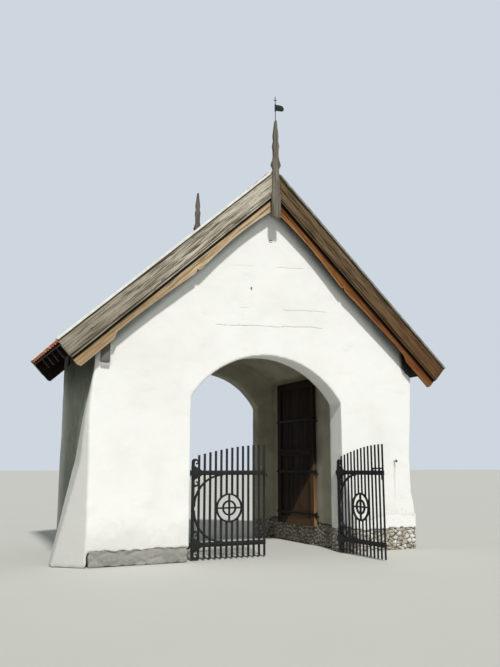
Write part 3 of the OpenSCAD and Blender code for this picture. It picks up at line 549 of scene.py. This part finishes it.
class Work:
    """Gathers closed shapes into one mesh, with a tint for each and a mark on its sawn faces."""

    def __init__(self):
        self.points, self.faces, self.paints = [], [], []

    def tube(self, rings, tint=0.5, marked=(), ends=True, faded=(), dirty=()):
        """A closed tube through rings of points. marked are the sides of the ring that are sawn faces, faded
        the sides that turn pale toward their second edge, and the last ones the undersides, which are
        painted dark as shade."""
        first, count = len(self.points), len(rings[0])
        for ring in rings:
            self.points.extend(tuple(p) for p in ring)
        for i in range(len(rings) - 1):
            for j in range(count):
                a, b = first + i * count + j, first + i * count + (j + 1) % count
                self.faces.append((a, b, b + count, a + count))
                near, far = float(j in marked), float(j in marked or j in faded)
                self.paints.extend([(tint, sawn, float(j in dirty), 1) for sawn in (near, far, far, near)])
        last = first + (len(rings) - 1) * count
        self.faces.append(tuple(range(first + count - 1, first - 1, -1)))
        self.faces.append(tuple(range(last, last + count)))
        self.paints.extend([(tint, float(ends), 0, 1)] * (2 * count))

    def board(self, start, along, across, up, length, width, thick, chamfer=0.003, wave=0.0012):
        """A straight board from one of its corners, with chamfered edges and a slightly uneven face."""
        start, along, across, up = (np.array(v, float) for v in (start, along, across, up))
        tint = rng.random()
        c = min(chamfer, thick / 3, width / 3)
        section = [(c, 0), (width - c, 0), (width, c), (width, thick - c),
                   (width - c, thick), (c, thick), (0, thick - c), (0, c)]
        middle = np.array([width / 2, thick / 2])
        inner = list(np.linspace(0, length, max(2, int(length / 0.4) + 1))[1:-1])
        stations = [0.0, c] + inner + [length - c, length]
        phase = rng.random() * 50
        rings = []
        for i, s in enumerate(stations):
            inset = c if i in (0, len(stations) - 1) else 0.0
            bend = wave * math.sin(3.1 * s + phase), wave * math.sin(4.3 * s + 2 * phase)
            ring = []
            for a, b in section:
                toward = middle - np.array([a, b])
                toward = np.sign(toward) * np.minimum(np.abs(toward), inset)
                side, rise = a + toward[0] + bend[0], b + toward[1] + bend[1]
                ring.append(start + along * s + across * side + up * rise)
            rings.append(ring)
        self.tube(rings, tint)

    def stud(self, at, out, radius=0.006, height=0.003):
        """A low domed nail head that sits in a face."""
        at, out = np.array(at, float), np.array(out, float) / np.linalg.norm(out)
        side = np.cross(out, UP)
        side /= np.linalg.norm(side)
        other = np.cross(out, side)
        turns = [2 * math.pi * k / 8 for k in range(8)]
        around = [side * math.cos(t) + other * math.sin(t) for t in turns]
        profile = ((-height, radius), (height * 0.2, radius), (height * 0.75, radius * 0.7),
                   (height, radius * 0.3))
        self.tube([[at + out * h + toward * r for toward in around] for h, r in profile], ends=False)

    def show(self, name, body, material, slot, stands_for=(), angle=35):
        mesh = bpy.data.meshes.new(name)
        mesh.from_pydata(self.points, [], self.faces)
        mark(mesh, "CORNER", self.paints)
        work = bmesh.new()
        work.from_mesh(mesh)
        bmesh.ops.recalc_face_normals(work, faces=work.faces)
        work.to_mesh(mesh)
        work.free()
        return show(mesh, name, body, material, stands_for, angle)


def applied(mesh, *modifiers):
    """The mesh after modifiers, each given as its kind and its settings."""
    holder = placed("holder", mesh)
    for kind, settings in modifiers:
        modifier = holder.modifiers.new(kind, kind)
        for key, value in settings.items():
            setattr(modifier, key, value)
    made = bpy.data.meshes.new_from_object(holder.evaluated_get(bpy.context.evaluated_depsgraph_get()))
    bpy.data.objects.remove(holder)
    return made


def joined(*nodes):
    """One mesh from the meshes of some solids."""
    work = bmesh.new()
    for node in nodes:
        work.from_mesh(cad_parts[node].data)
    mesh = bpy.data.meshes.new("joined")
    work.to_mesh(mesh)
    work.free()
    return mesh


def dress(node, body, material, width=0.0015, tint=0.5):
    """A copy of a solid with its edges eased, for what was forged or planed to that very shape."""
    work = bmesh.new()
    work.from_mesh(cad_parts[node].data)
    bmesh.ops.remove_doubles(work, verts=work.verts, dist=1e-5)
    bmesh.ops.dissolve_limit(work, angle_limit=math.radians(0.8), verts=work.verts, edges=work.edges)
    sharp = [e for e in work.edges if e.is_manifold and e.calc_face_angle(0) > math.radians(38)]
    bmesh.ops.bevel(work, geom=sharp, offset=width, segments=2, profile=0.6, affect="EDGES",
                    clamp_overlap=True)
    mesh = bpy.data.meshes.new(node)
    work.to_mesh(mesh)
    work.free()
    mark(mesh, "CORNER", [tint, 0, 0, 1] * len(mesh.loops))
    return show(mesh, "dressed_" + node, body, material, [node])


def slope_pt(side, u, v, y):
    """A point of a roof slope: u down it from the ridge, v square below it, y behind the front face."""
    return np.array([side * (u * math.cos(PITCH) - v * math.sin(PITCH)), FRONT_Y + y,
                     RIDGE_Z - u * math.sin(PITCH) - v * math.cos(PITCH)])


def eave_len(side, y):
    """The slope's length at a place behind the front face. The left one draws in toward the back."""
    return SLOPE if side > 0 else SLOPE - EAVE_TAPER * (y + VERGE_OUT) / (VERGE_BACK + VERGE_OUT)


# Masonry

MASONRY = ["front_wall_left", "front_wall_right", "front_gable", "rear_wall_left", "rear_wall_right",
           "rear_gable", "left_side_wall", "right_side_wall", "passage_vault", "left_buttress"]
SKIN_VOXEL = 0.026
SKIN_TRIANGLES = 190000
# Where iron or timber meets the plaster, which keeps the solids' face there
ANCHORS = [(s * OPENING_HALF, FRONT_Y + GATE_PIN_Y, z) for s in (-1, 1) for z in GATE_PIN_Z]
ANCHORS += [(s * CHAMBER_HALF, FRONT_Y + DOOR_PIN_Y, z) for s in (-1, 1) for z in DOOR_PIN_Z]
ANCHORS += [(HOOK_X, FRONT_Y, HOOK_Z)]
ANCHORS += [(x, y, z) for x, y in ((-2.61, FRONT_Y), (-2.47, REAR_Y), (2.61, REAR_Y)) for z in (3.1, 3.28)]
# The right flank under its eave: heights, and how far it leans in at each
LEAN_Z = [0, 0.55, 0.75, 0.9, 1.2, 1.5, 1.75, 2.1, 2.45, 2.77]
LEAN_X = [-0.01, -0.03, -0.05, -0.085, -0.085, -0.09, -0.075, -0.045, -0.02, 0]


def plinth_top(x):
    """The height of the right plinth's top at a distance from the passage's middle."""
    return np.interp(x, [OPENING_HALF, WALL_HALF - RIGHT_LEVEL_W], [RIGHT_JAMB_H, RIGHT_PLINTH_H])


def uneven(p, n):
    """The skin's points pushed in and out softly, less near the anchors."""
    push = -0.005 + 0.006 * field(p, 0.8, 1) + 0.004 * field(p, 2.3, 2)
    push += 0.0022 * field(p, 6.5, 3) + 0.0012 * field(p, 15, 4)
    near = np.min([np.linalg.norm(p - np.array(a), axis=1) for a in ANCHORS], axis=0)
    push *= smooth_step(near, 0.06, 0.2)
    return p + n * push[:, None]


def masonry():
    """One skin of limewashed plaster over walls, gables, vault and buttress, with soft uneven faces."""
    mesh = applied(joined(*MASONRY), ("REMESH", {"mode": "VOXEL", "voxel_size": SKIN_VOXEL}),
                   ("SMOOTH", {"factor": 0.5, "iterations": 3}))
    p = read(mesh, "co")
    x, y, z = p.T
    q = uneven(p, read(mesh, "normal"))
    # The right flank leans in below the eave, and the front left corner bellies out
    q[:, 0] += np.interp(z, LEAN_Z, LEAN_X) * smooth_step(x, 2.25, WALL_HALF)
    belly = 0.03 * np.exp(-((z - 2.0) / 0.45) ** 2 - ((y - FRONT_Y) / 0.6) ** 2)
    q[:, 0] -= belly * smooth_step(-x, 2.3, 2.7)
    # The plaster ends in a broken edge over the stones
    foot = np.where(x > 0, plinth_top(x), PLINTH_H)
    flat = p * np.array([1, 1, 0])
    rag = 0.020 * field(flat, 7, 8) + 0.012 * field(flat, 19, 9)
    q[:, 2] += rag * smooth_step(z - foot, 0.14, 0.0) * (np.abs(x) < WALL_HALF + 0.02)
    q[:, 2] = np.maximum(q[:, 2], 0)
    mesh.vertices.foreach_set("co", q.ravel())
    share = min(1.0, SKIN_TRIANGLES / (2 * len(mesh.polygons)))
    mesh = applied(mesh, ("DECIMATE", {"ratio": share}))
    show(mesh, "masonry", "building", LIMEWASH, MASONRY, 80)


def scattered(points, spacing, pick):
    """Points taken at random that keep a spacing from each other."""
    kept = np.empty((0, 3))
    for i in pick.permutation(len(points)):
        if not len(kept) or np.linalg.norm(kept - points[i], axis=1).min() > spacing:
            kept = np.vstack([kept, points[i]])
    return kept


def stones_at(p, seed, spacing):
    """For each point, how far it lies inside its stone, and that stone's tint."""
    pick = np.random.default_rng(seed)
    squash = np.array([1, 1, 1.5])
    seeds = scattered(p * squash, spacing, pick)
    tree = KDTree(len(seeds))
    for k, s in enumerate(seeds):
        tree.insert(s, k)
    tree.balance()
    warp = [field(p, 7, seed + k) + 0.4 * field(p, 19, seed + k) for k in range(3)]
    found = [tree.find_n(q, 2) for q in (p + 0.03 * np.stack(warp, 1)) * squash]
    nearest, second = (np.array([pair[k][2] for pair in found]) for k in (0, 1))
    owner = np.array([pair[0][1] for pair in found])
    return second - nearest, pick.random(len(seeds))[owner]


def rubble_course(node, seed, spacing, relief, voxel, material, coat):
    """A plinth of fieldstones in mortar: each stone is domed and has its own tint, and plaster hides those
    above the height of the coat."""
    source = joined(node)
    p = read(source, "co")
    p[:, 2] += 0.035 * (p[:, 2] > 0.1)
    source.vertices.foreach_set("co", p.ravel())
    mesh = applied(source, ("REMESH", {"mode": "VOXEL", "voxel_size": voxel}),
                   ("SMOOTH", {"factor": 0.5, "iterations": 2}))
    p, n = read(mesh, "co"), read(mesh, "normal")
    inside, tints = stones_at(p, seed, spacing)
    fine = field(p, 22, seed + 5)
    push = -0.016 + relief * smooth_step(inside, 0.0, spacing * 0.55) + 0.003 * fine
    rag = 0.025 * field(p, 5, seed + 6) + 0.02 * field(p, 17, seed + 7)
    cover = smooth_step(p[:, 2] + rag, coat - 0.016, coat + 0.016)
    cover *= smooth_step(p[:, 0], CHAMBER_HALF, CHAMBER_HALF + 0.06)
    push = push * (1 - cover) + (0.008 - 0.001 * fine ** 2) * cover
    q = p + n * np.minimum(push, 0.008)[:, None]
    q[:, 2] = np.maximum(q[:, 2], 0)
    mesh.vertices.foreach_set("co", q.ravel())
    stone = smooth_step(inside, min(0.012, spacing * 0.1), min(0.03, spacing * 0.25))
    mark(mesh, "POINT", np.stack([tints, stone, cover, np.ones(len(p))], 1))
    show(mesh, node.replace("plinth", "rubble"), "building", material, [node], 80)


masonry()
# The left coat stands over the plinth and hides no stone
rubble_course("left_plinth", 3, spacing=0.19, relief=0.014, voxel=0.0155, material=STONE_LEFT, coat=9)
rubble_course("right_plinth", 5, spacing=0.075, relief=0.024, voxel=0.0125, material=STONE_RIGHT, coat=0.35)


# Roof

TILE_GAUGE = 0.33
TILE_LAP = 0.075
TILE_COUNT = 12
TILE_W = (VERGE_BACK + VERGE_OUT - 2 * BARGE_T) / (TILE_COUNT + 0.03)
TILE_T = 0.013
TILE_BED = 0.083
TILE_HOLLOW = 0.018
TILE_ROLL = 0.040
TILE_EDGE = 0.009
RIDGE_TILES = 9
RIDGE_SUNK = 0.055
RIDGE_TILE_T = 0.014
ROOF_BOARDS = 29
BOARD_GAP = 0.004


def tile_rise(t):
    """The height of a pantile's top across its width: a hollow, then a roll that covers the next tile."""
    if t < 0.34:
        return TILE_HOLLOW * (0.5 + 0.5 * math.cos(math.pi * t / 0.34))
    if t < 0.87:
        return TILE_ROLL * (0.5 - 0.5 * math.cos(math.pi * (t - 0.34) / 0.53))
    return TILE_ROLL - TILE_EDGE * (0.5 - 0.5 * math.cos(math.pi * (t - 0.87) / 0.16))


def pantiles(side, node, name):
    """Single pantiles up a slope, each over the one below it and over its neighbour."""
    work = Work()
    across = [1.03 * k / 15 for k in range(16)]
    for column in range(TILE_COUNT):
        y0 = BARGE_T - VERGE_OUT + column * TILE_W
        eave = eave_len(side, y0 + TILE_W)
        course = 0
        while eave - course * TILE_GAUGE > 0.12:
            low = eave - course * TILE_GAUGE - (rng.random() * 0.012 if course else 0.001)
            high = max(low - TILE_GAUGE - TILE_LAP, 0.06)
            skew = (rng.random() - 0.5) * 0.006
            lift = rng.random() * 0.0015
            rings = []
            for s in (0.0, 0.33, 0.66, 0.97, 1.0):
                u = high + (low - high) * s
                bed = TILE_BED - 0.0005 - (0.0155 + lift) * s
                eased = 0.002 if s == 1.0 else 0.0
                line = [(tile_rise(t), y0 + t * TILE_W + skew * (s - 0.5)) for t in across]
                top = [slope_pt(side, u, bed - TILE_T + eased - rise, y) for rise, y in line]
                under = [slope_pt(side, u, bed - eased - rise, y) for rise, y in reversed(line)]
                rings.append(top + under)
            work.tube(rings, rng.random())
            course += 1
    work.show(name, "building", CLAY, "clay", [node], 50)


def ridge():
    """Half-round ridge tiles, each over the next one, on a bed of mortar along both sides."""
    work, mortar = Work(), Work()
    centre = RIDGE_Z - (V_TILES + RIDGE_R) / math.cos(PITCH) + RIDGE_R - RIDGE_SUNK
    start, end = CAP_W - VERGE_OUT, VERGE_BACK - CAP_W
    step = (end - start) / RIDGE_TILES
    angles = [math.radians(a) for a in range(-98, 99, 14)]
    for k in range(RIDGE_TILES):
        y0 = start + k * step
        y1 = y0 + step + (0.05 if k < RIDGE_TILES - 1 else 0)
        rings = []
        for s, r in ((0.0, 0.0985), (0.02, 0.1), (0.9, 0.088), (1.0, 0.0865)):
            y = FRONT_Y + y0 + (y1 - y0) * s
            hollow = r - RIDGE_TILE_T
            shell = [(r * math.sin(a), y, centre + r * math.cos(a)) for a in angles]
            inner = [(hollow * math.sin(a), y, centre + hollow * math.cos(a)) for a in reversed(angles)]
            rings.append(shell + inner)
        work.tube(rings, rng.random())
    for side in (-1, 1):
        rings = []
        for y in np.linspace(start + 0.004, end - 0.004, 60):
            bulge = 0.006 * math.sin(9 * y + side) + 0.005 * math.sin(23 * y)
            section = ((0.072, -0.075), (0.112 + bulge, -0.062 + bulge / 2), (0.101 + bulge / 2, -0.028),
                       (0.085, -0.006))
            rings.append([(side * x, FRONT_Y + y, centre + z) for x, z in section])
        mortar.tube(rings, 0.9, ends=False)
    work.show("ridge_pantiles", "building", CLAY, "clay", ["ridge_tiles"], 50)
    mortar.show("ridge_bedding", "building", MORTAR, "clay", (), 60)


def slope_boards(side, node, name):
    """Boards laid level over the rafters in two lengths, with the joints open by a few millimetres."""
    work = Work()
    y0, y1 = BARGE_T - VERGE_OUT, VERGE_BACK - BARGE_T
    v0, v1 = V_BOARDS, V_RAFTERS
    first = V_BOARDS * math.tan(PITCH) + 0.004

    def edge(share, y):
        """How far down the slope a share of the boards ends, on a straight line between the verges."""
        ends = [first + (eave_len(side, end) - first) * share for end in (y0, y1)]
        t = (y - y0) / (y1 - y0)
        return ends[0] * (1 - t) + ends[1] * t
    for k in range(ROOF_BOARDS):
        joint = y0 + (y1 - y0) * (0.3 + 0.4 * rng.random())
        for a, b in ((y0, joint - 0.001), (joint + 0.001, y1)):
            tint = rng.random()
            rings = []
            for y in [a, a + 0.003] + list(np.linspace(a, b, 4)[1:-1]) + [b - 0.003, b]:
                u0 = edge(k / ROOF_BOARDS, y) + BOARD_GAP / 2
                u1 = edge((k + 1) / ROOF_BOARDS, y) - BOARD_GAP / 2
                c = 0.002 + (0.002 if y in (a, b) else 0)
                ring = [(u0 + c, v0), (u1 - c, v0), (u1, v0 + c), (u1, v1 - c), (u1 - c, v1), (u0 + c, v1),
                        (u0, v1 - c), (u0, v0 + c)]
                rings.append([slope_pt(side, u, v, y) for u, v in ring])
            work.tube(rings, tint)
    work.show(name, "building", SOFFIT, "roof_timber", [node])


pantiles(-1, "left_roof_tiles", "left_pantiles")
pantiles(1, "right_roof_tiles", "right_pantiles")
ridge()
slope_boards(-1, "left_roof_boards", "left_sarking")
slope_boards(1, "right_roof_boards", "right_sarking")
dress("rafters", "building", RAFTER, 0.004)
dress("left_wall_plate", "building", ROOF_BEAM, 0.006)
dress("right_wall_plate", "building", ROOF_BEAM, 0.006)


# Verge boards

def edge_strip(work, side, y_eave, v0, v1, y0, y1, chamfer=0.003, wave=0.0015, foot=None, plumb=True,
               back=False, **marks):
    """A board down a verge, square at the eave and plumb at the ridge unless told otherwise. foot gives its
    lower edge along the slope, and back turns it about for the rear."""
    length = eave_len(side, y_eave)
    start = v1 * math.tan(PITCH) + 0.001
    edge = foot or [(u, v1) for u in np.linspace(start, length, int(length / 0.12))]
    (begin, first_v), (end, last_v) = edge[0], edge[-1]
    stations = [edge[0], (begin + chamfer, first_v)] + edge[1:-1] + [(end - chamfer, last_v), edge[-1]]
    phase = rng.random() * 50
    c = chamfer
    rings = []
    for i, (u, low) in enumerate(stations):
        at_end = i in (0, len(stations) - 1)
        inset = chamfer if at_end else 0.0
        share = (u - begin) / (length - begin)
        bend_v = wave * math.sin(5.3 * u + phase)
        bend_y = 0.0 if at_end else wave * math.sin(8.1 * u + 1.7 * phase)
        section = [(v0 + c, y0), (max(low - 0.04, (v0 + low) / 2), y0), (low - c, y0), (low, y0 + c),
                   (low, y1 - c), (low - c, y1), (v0 + c, y1), (v0, y1 - c), (v0, y0 + c)]
        ring = []
        for v, y in section:
            v = min(max(v, v0 + inset), low - inset)
            y = min(max(y, y0 + inset), y1 - inset)
            y = y0 + y1 - y if back else y
            top_u = v * math.tan(PITCH) + 0.001
            along = top_u + (length - top_u) * share if plumb else u
            ring.append(slope_pt(side, along, v + bend_v * (v > v0 + 2 * c), y + bend_y))
        rings.append(ring)
    work.tube(rings, rng.random(), **marks)


def scallop_foot(length):
    """A scalloped board's lower edge: a long hollow, a notch between rounded lobes, a sweep and a tail."""
    hollow, notch, lobe = 0.49, 2.153, 2.293
    sweep, tail = length - 0.735, length - 0.605
    cusp_v, lobe_v, sweep_v, tail_v = 0.46, 0.506, 0.446, 0.499
    quarter = np.linspace(0, math.pi / 2, 9)[1:]
    line = [(hollow + t * (notch - hollow), SCALLOP_W - 0.05 * math.sin(math.pi * t))
            for t in np.linspace(0, 1, 40)]
    line += [(notch + 0.08 * math.sin(a), cusp_v + 0.052 * math.cos(a)) for a in quarter]
    line += [(lobe - 0.06 * math.cos(a), cusp_v + 0.046 * math.sin(a)) for a in quarter]
    line += [(lobe + t * (sweep - lobe), lobe_v - 0.06 * math.sin(math.pi / 2 * t))
             for t in np.linspace(0, 1, 24)[1:]]
    drop = (tail_v - sweep_v) / 2
    line += [(sweep + t * (tail - sweep), sweep_v + drop * (1 - math.cos(math.pi * t)))
             for t in np.linspace(0, 1, 9)[1:]]
    line += [(tail + t * 0.58, tail_v) for t in (0.25, 0.5, 0.75, 1)]
    return line + [(length, tail_v - 0.04)]


class Verge:
    """One side of the front or rear gable's boards."""

    def __init__(self, back, side):
        self.back, self.side = back, side
        self.eave = VERGE_BACK if back else -VERGE_OUT
        self.gable = "rear" if back else "front"
        self.name = f"{self.gable}_{'left' if side < 0 else 'right'}"

    def behind(self, near, far):
        """Two distances behind the verge's face, as places behind the front wall's, the lower one first."""
        return sorted(VERGE_BACK - y if self.back else y - VERGE_OUT for y in (near, far))

    def strip(self, work, v0, v1, near, far, **options):
        edge_strip(work, self.side, self.eave, v0, v1, *self.behind(near, far), **options)

    def bargeboard(self):
        """The bargeboard with a bead along its foot, set back a little behind a groove."""
        bead, groove = 0.03, 0.002
        work = Work()
        self.strip(work, V_TILES + SEAT, BARGE_W - bead - groove / 2, 0, BARGE_T, back=self.back)
        # The bead's underside is painted dark as shade.
        self.strip(work, BARGE_W - bead + groove / 2, BARGE_W, 0.005, BARGE_T, chamfer=0.006,
                   back=self.back, marked=(2,), dirty=(3, 4))
        work.show(f"{self.name}_verge_board", "building", BARGE[self.side], "weathered_timber",
                  [f"{self.name}_bargeboard"])

    def scallops(self):
        work = Work()
        foot = scallop_foot(eave_len(self.side, self.eave))
        # The board's underside and back are painted dark as shade.
        self.strip(work, V_RAFTERS + SEAT, SCALLOP_W, BARGE_T, BARGE_T + SCALLOP_T, wave=0, foot=foot,
                   back=self.back, faded=(1,), marked=(2,), dirty=(3, 4, 5))
        work.show(f"{self.name}_scallops", "building", SCALLOP[self.side], "sawn_boards",
                  [f"{self.gable}_scalloped_boards"])

    def capping(self):
        """The strip over the verge and its lip down the face."""
        work = Work()
        self.strip(work, 0.0, CAP_T, 0.0005, CAP_W, chamfer=0.002, wave=0)
        lip = [(u, LIP_H) for u in np.linspace(LIP_FROM, eave_len(self.side, self.eave), 30)]
        self.strip(work, 0.0, LIP_H, -LIP_T, SEAT, chamfer=0.005, wave=0, foot=lip, plumb=False)
        work.show(f"{self.name}_capping", "building", CAP[self.side], "capping",
                  [f"{self.gable}_verge_cap"])

    def nails(self):
        work = Work()
        for u in np.arange(0.55, SLOPE - 0.3, 0.62):
            for v in (0.075, 0.19, 0.28):
                at = slope_pt(self.side, u + (rng.random() - 0.5) * 0.05, v, self.eave)
                work.stud(at, (0, 1 if self.back else -1, 0), 0.006, 0.0025)
        work.show(f"{self.name}_verge_nails", "building", IRON, "iron")


def gable_tacks():
    """A round tack and a small bent nail in the front gable."""
    work = Work()
    work.stud((-0.32, FRONT_Y - 0.001, 4.089), (0, -1, 0), 0.012, 0.02)
    work.board((-0.002, FRONT_Y - 0.012, 4.905), (1, 0, 0.12), (0, -1, 0), UP, 0.052, 0.01, 0.01, 0.002)
    work.stud((0.0, FRONT_Y - 0.001, 4.91), (0, -1, 0), 0.006, 0.022)
    work.show("gable_tacks", "building", IRON, "iron")


for back in (False, True):
    for side in (-1, 1):
        verge = Verge(back, side)
        verge.bargeboard()
        verge.scallops()
        verge.capping()
        verge.nails()
gable_tacks()
dress("front_finial", "building", FINIAL, 0.004, 0.6)
dress("rear_finial", "building", FINIAL, 0.004, 0.2)
dress("vane_rod", "building", IRON, 0.001)
dress("weather_vane", "vane", IRON, 0.0006)


# Gates, doors and hook

PLANKS = 7
DOOR_GAP = 0.002
RAIL_T = DOOR_T - 0.001


def door_planks(side, word):
    """The plank face and the frame's two stiles."""
    work = Work()
    x, y = side * DOOR_PIN_X, FRONT_Y + DOOR_PIN_Y
    low, high = DOOR_Z
    each = (DOOR_L - HEEL) / PLANKS
    for k in range(PLANKS):
        work.board((x, y + HEEL + k * each + DOOR_GAP / 2, low), UP, BACKWARD, (side, 0, 0), high - low,
                   each - DOOR_GAP, DOOR_T, 0.005, wave=0.0006)
    for s in (HEEL, DOOR_L - DOOR_FRAME_W):
        work.board((x, y + s, low), UP, BACKWARD, (-side, 0, 0), high - low, DOOR_FRAME_W, DOOR_T, 0.004)
    work.show(f"{word}_door_planks", f"{word}_door", DOOR, "door_timber", [f"{word}_door_leaf"])


def door_rails(side, word):
    """The frame's three rails, with two nails through each into every plank."""
    rails, nails = Work(), Work()
    x, y = side * DOOR_PIN_X, FRONT_Y + DOOR_PIN_Y
    low, high = DOOR_Z
    each = (DOOR_L - HEEL) / PLANKS
    room = (high - low - 3 * DOOR_FRAME_W) / 2
    for level in (low + i * (room + DOOR_FRAME_W) for i in range(3)):
        rails.board((x, y + HEEL + DOOR_FRAME_W + 0.0005, level), BACKWARD, UP, (-side, 0, 0),
                    DOOR_L - HEEL - 2 * DOOR_FRAME_W - 0.001, DOOR_FRAME_W, RAIL_T, 0.004)
        for k in range(PLANKS):
            thick = DOOR_T if k in (0, PLANKS - 1) else RAIL_T
            s = min(max(HEEL + (k + 0.5) * each, HEEL + 0.05), DOOR_L - 0.05)
            for z in (level + 0.04, level + 0.09):
                nails.stud((x - side * thick, y + s, z), (-side, 0, 0), 0.008, 0.004)
    rails.show(f"{word}_door_rails", f"{word}_door", DOOR_LEVEL, "door_timber", [f"{word}_door_leaf"])
    nails.show(f"{word}_door_nails", f"{word}_door", TARRED_IRON, "iron")


for word in ("left", "right"):
    for part in ("leaf", "wheel", "straps", "latch"):
        dress(f"{word}_gate_{part}", f"{word}_gate", IRON, 0.0016)
    dress(f"{word}_door_straps", f"{word}_door", TARRED_IRON, 0.002)
    dress(f"{word}_hinge_pins", "building", IRON, 0.0015)
dress("wall_hook", "building", IRON, 0.002)
for side, word in ((-1, "left"), (1, "right")):
    door_planks(side, word)
    door_rails(side, word)


# Camera, light and floor

# The camera fitted to the photo: the photo's height and the focal length in its pixels, then the eye's place
# and how far it is tilted up and turned to the right, in degrees
PHOTO_H = 667
PHOTO_FOCAL = 703.16
EYE = (-5.004, FRONT_Y - 9.671, 1.315)
EYE_TILT = 10.772
EYE_TURN = 25.722
SUN_AIM = np.array([0.228, 1.0, -1.15])
FLOOR_SIZE = 600


def add_camera():
    data = bpy.data.cameras.new("camera")
    data.sensor_width = 36
    data.lens = data.sensor_width * PHOTO_FOCAL / PHOTO_H
    camera = placed("camera", data)
    camera.location = EYE
    camera.rotation_euler = (math.radians(90 + EYE_TILT), 0, math.radians(-EYE_TURN))
    bpy.context.scene.camera = camera


def add_world():
    """Light from a soft sky, and a pale background for the camera and in what shines or is clear."""
    world = bpy.data.worlds.new("world")
    bpy.context.scene.world = world
    world.use_nodes = True
    links, made = world.node_tree.links, world.node_tree.nodes
    light = made["Background"]
    light.inputs["Color"].default_value = (0.9, 0.97, 1, 1)
    light.inputs["Strength"].default_value = 0.3
    seen = made.new("ShaderNodeBackground")
    seen.inputs["Color"].default_value = colour(206, 214, 224)
    seen.inputs["Strength"].default_value = 1
    path = made.new("ShaderNodeLightPath")
    shown = path.outputs["Is Camera Ray"]
    for ray in ("Is Glossy Ray", "Is Transmission Ray"):
        either = made.new("ShaderNodeMath")
        either.operation = "MAXIMUM"
        links.new(shown, either.inputs[0])
        links.new(path.outputs[ray], either.inputs[1])
        shown = either.outputs[0]
    blend = made.new("ShaderNodeMixShader")
    for k, output in enumerate((shown, light.outputs[0], seen.outputs[0])):
        links.new(output, blend.inputs[k])
    links.new(blend.outputs[0], made["World Output"].inputs["Surface"])


def add_sun():
    data = bpy.data.lights.new("sun", "SUN")
    data.energy = 2.9
    data.angle = 0.08
    data.color = (1, 0.985, 0.96)
    x, y, z = SUN_AIM
    drop = math.acos(-z / np.linalg.norm(SUN_AIM))
    placed("sun", data).rotation_euler = (drop, 0, math.atan2(-x, y))


def add_floor():
    """A wide pale floor just under the building."""
    bpy.ops.mesh.primitive_plane_add(size=FLOOR_SIZE, location=(0, 0, -0.002))
    floor = bpy.context.object
    floor.name = "floor"
    n = Nodes("pale_floor", 0.95)
    base = n.mix(n.noise(0.6, 2), colour(204, 204, 197), colour(200, 200, 193))
    floor.data.materials.append(n.done(base))


add_camera()
add_world()
add_sun()
add_floor()
bpy.context.scene.view_settings.view_transform = "Standard"
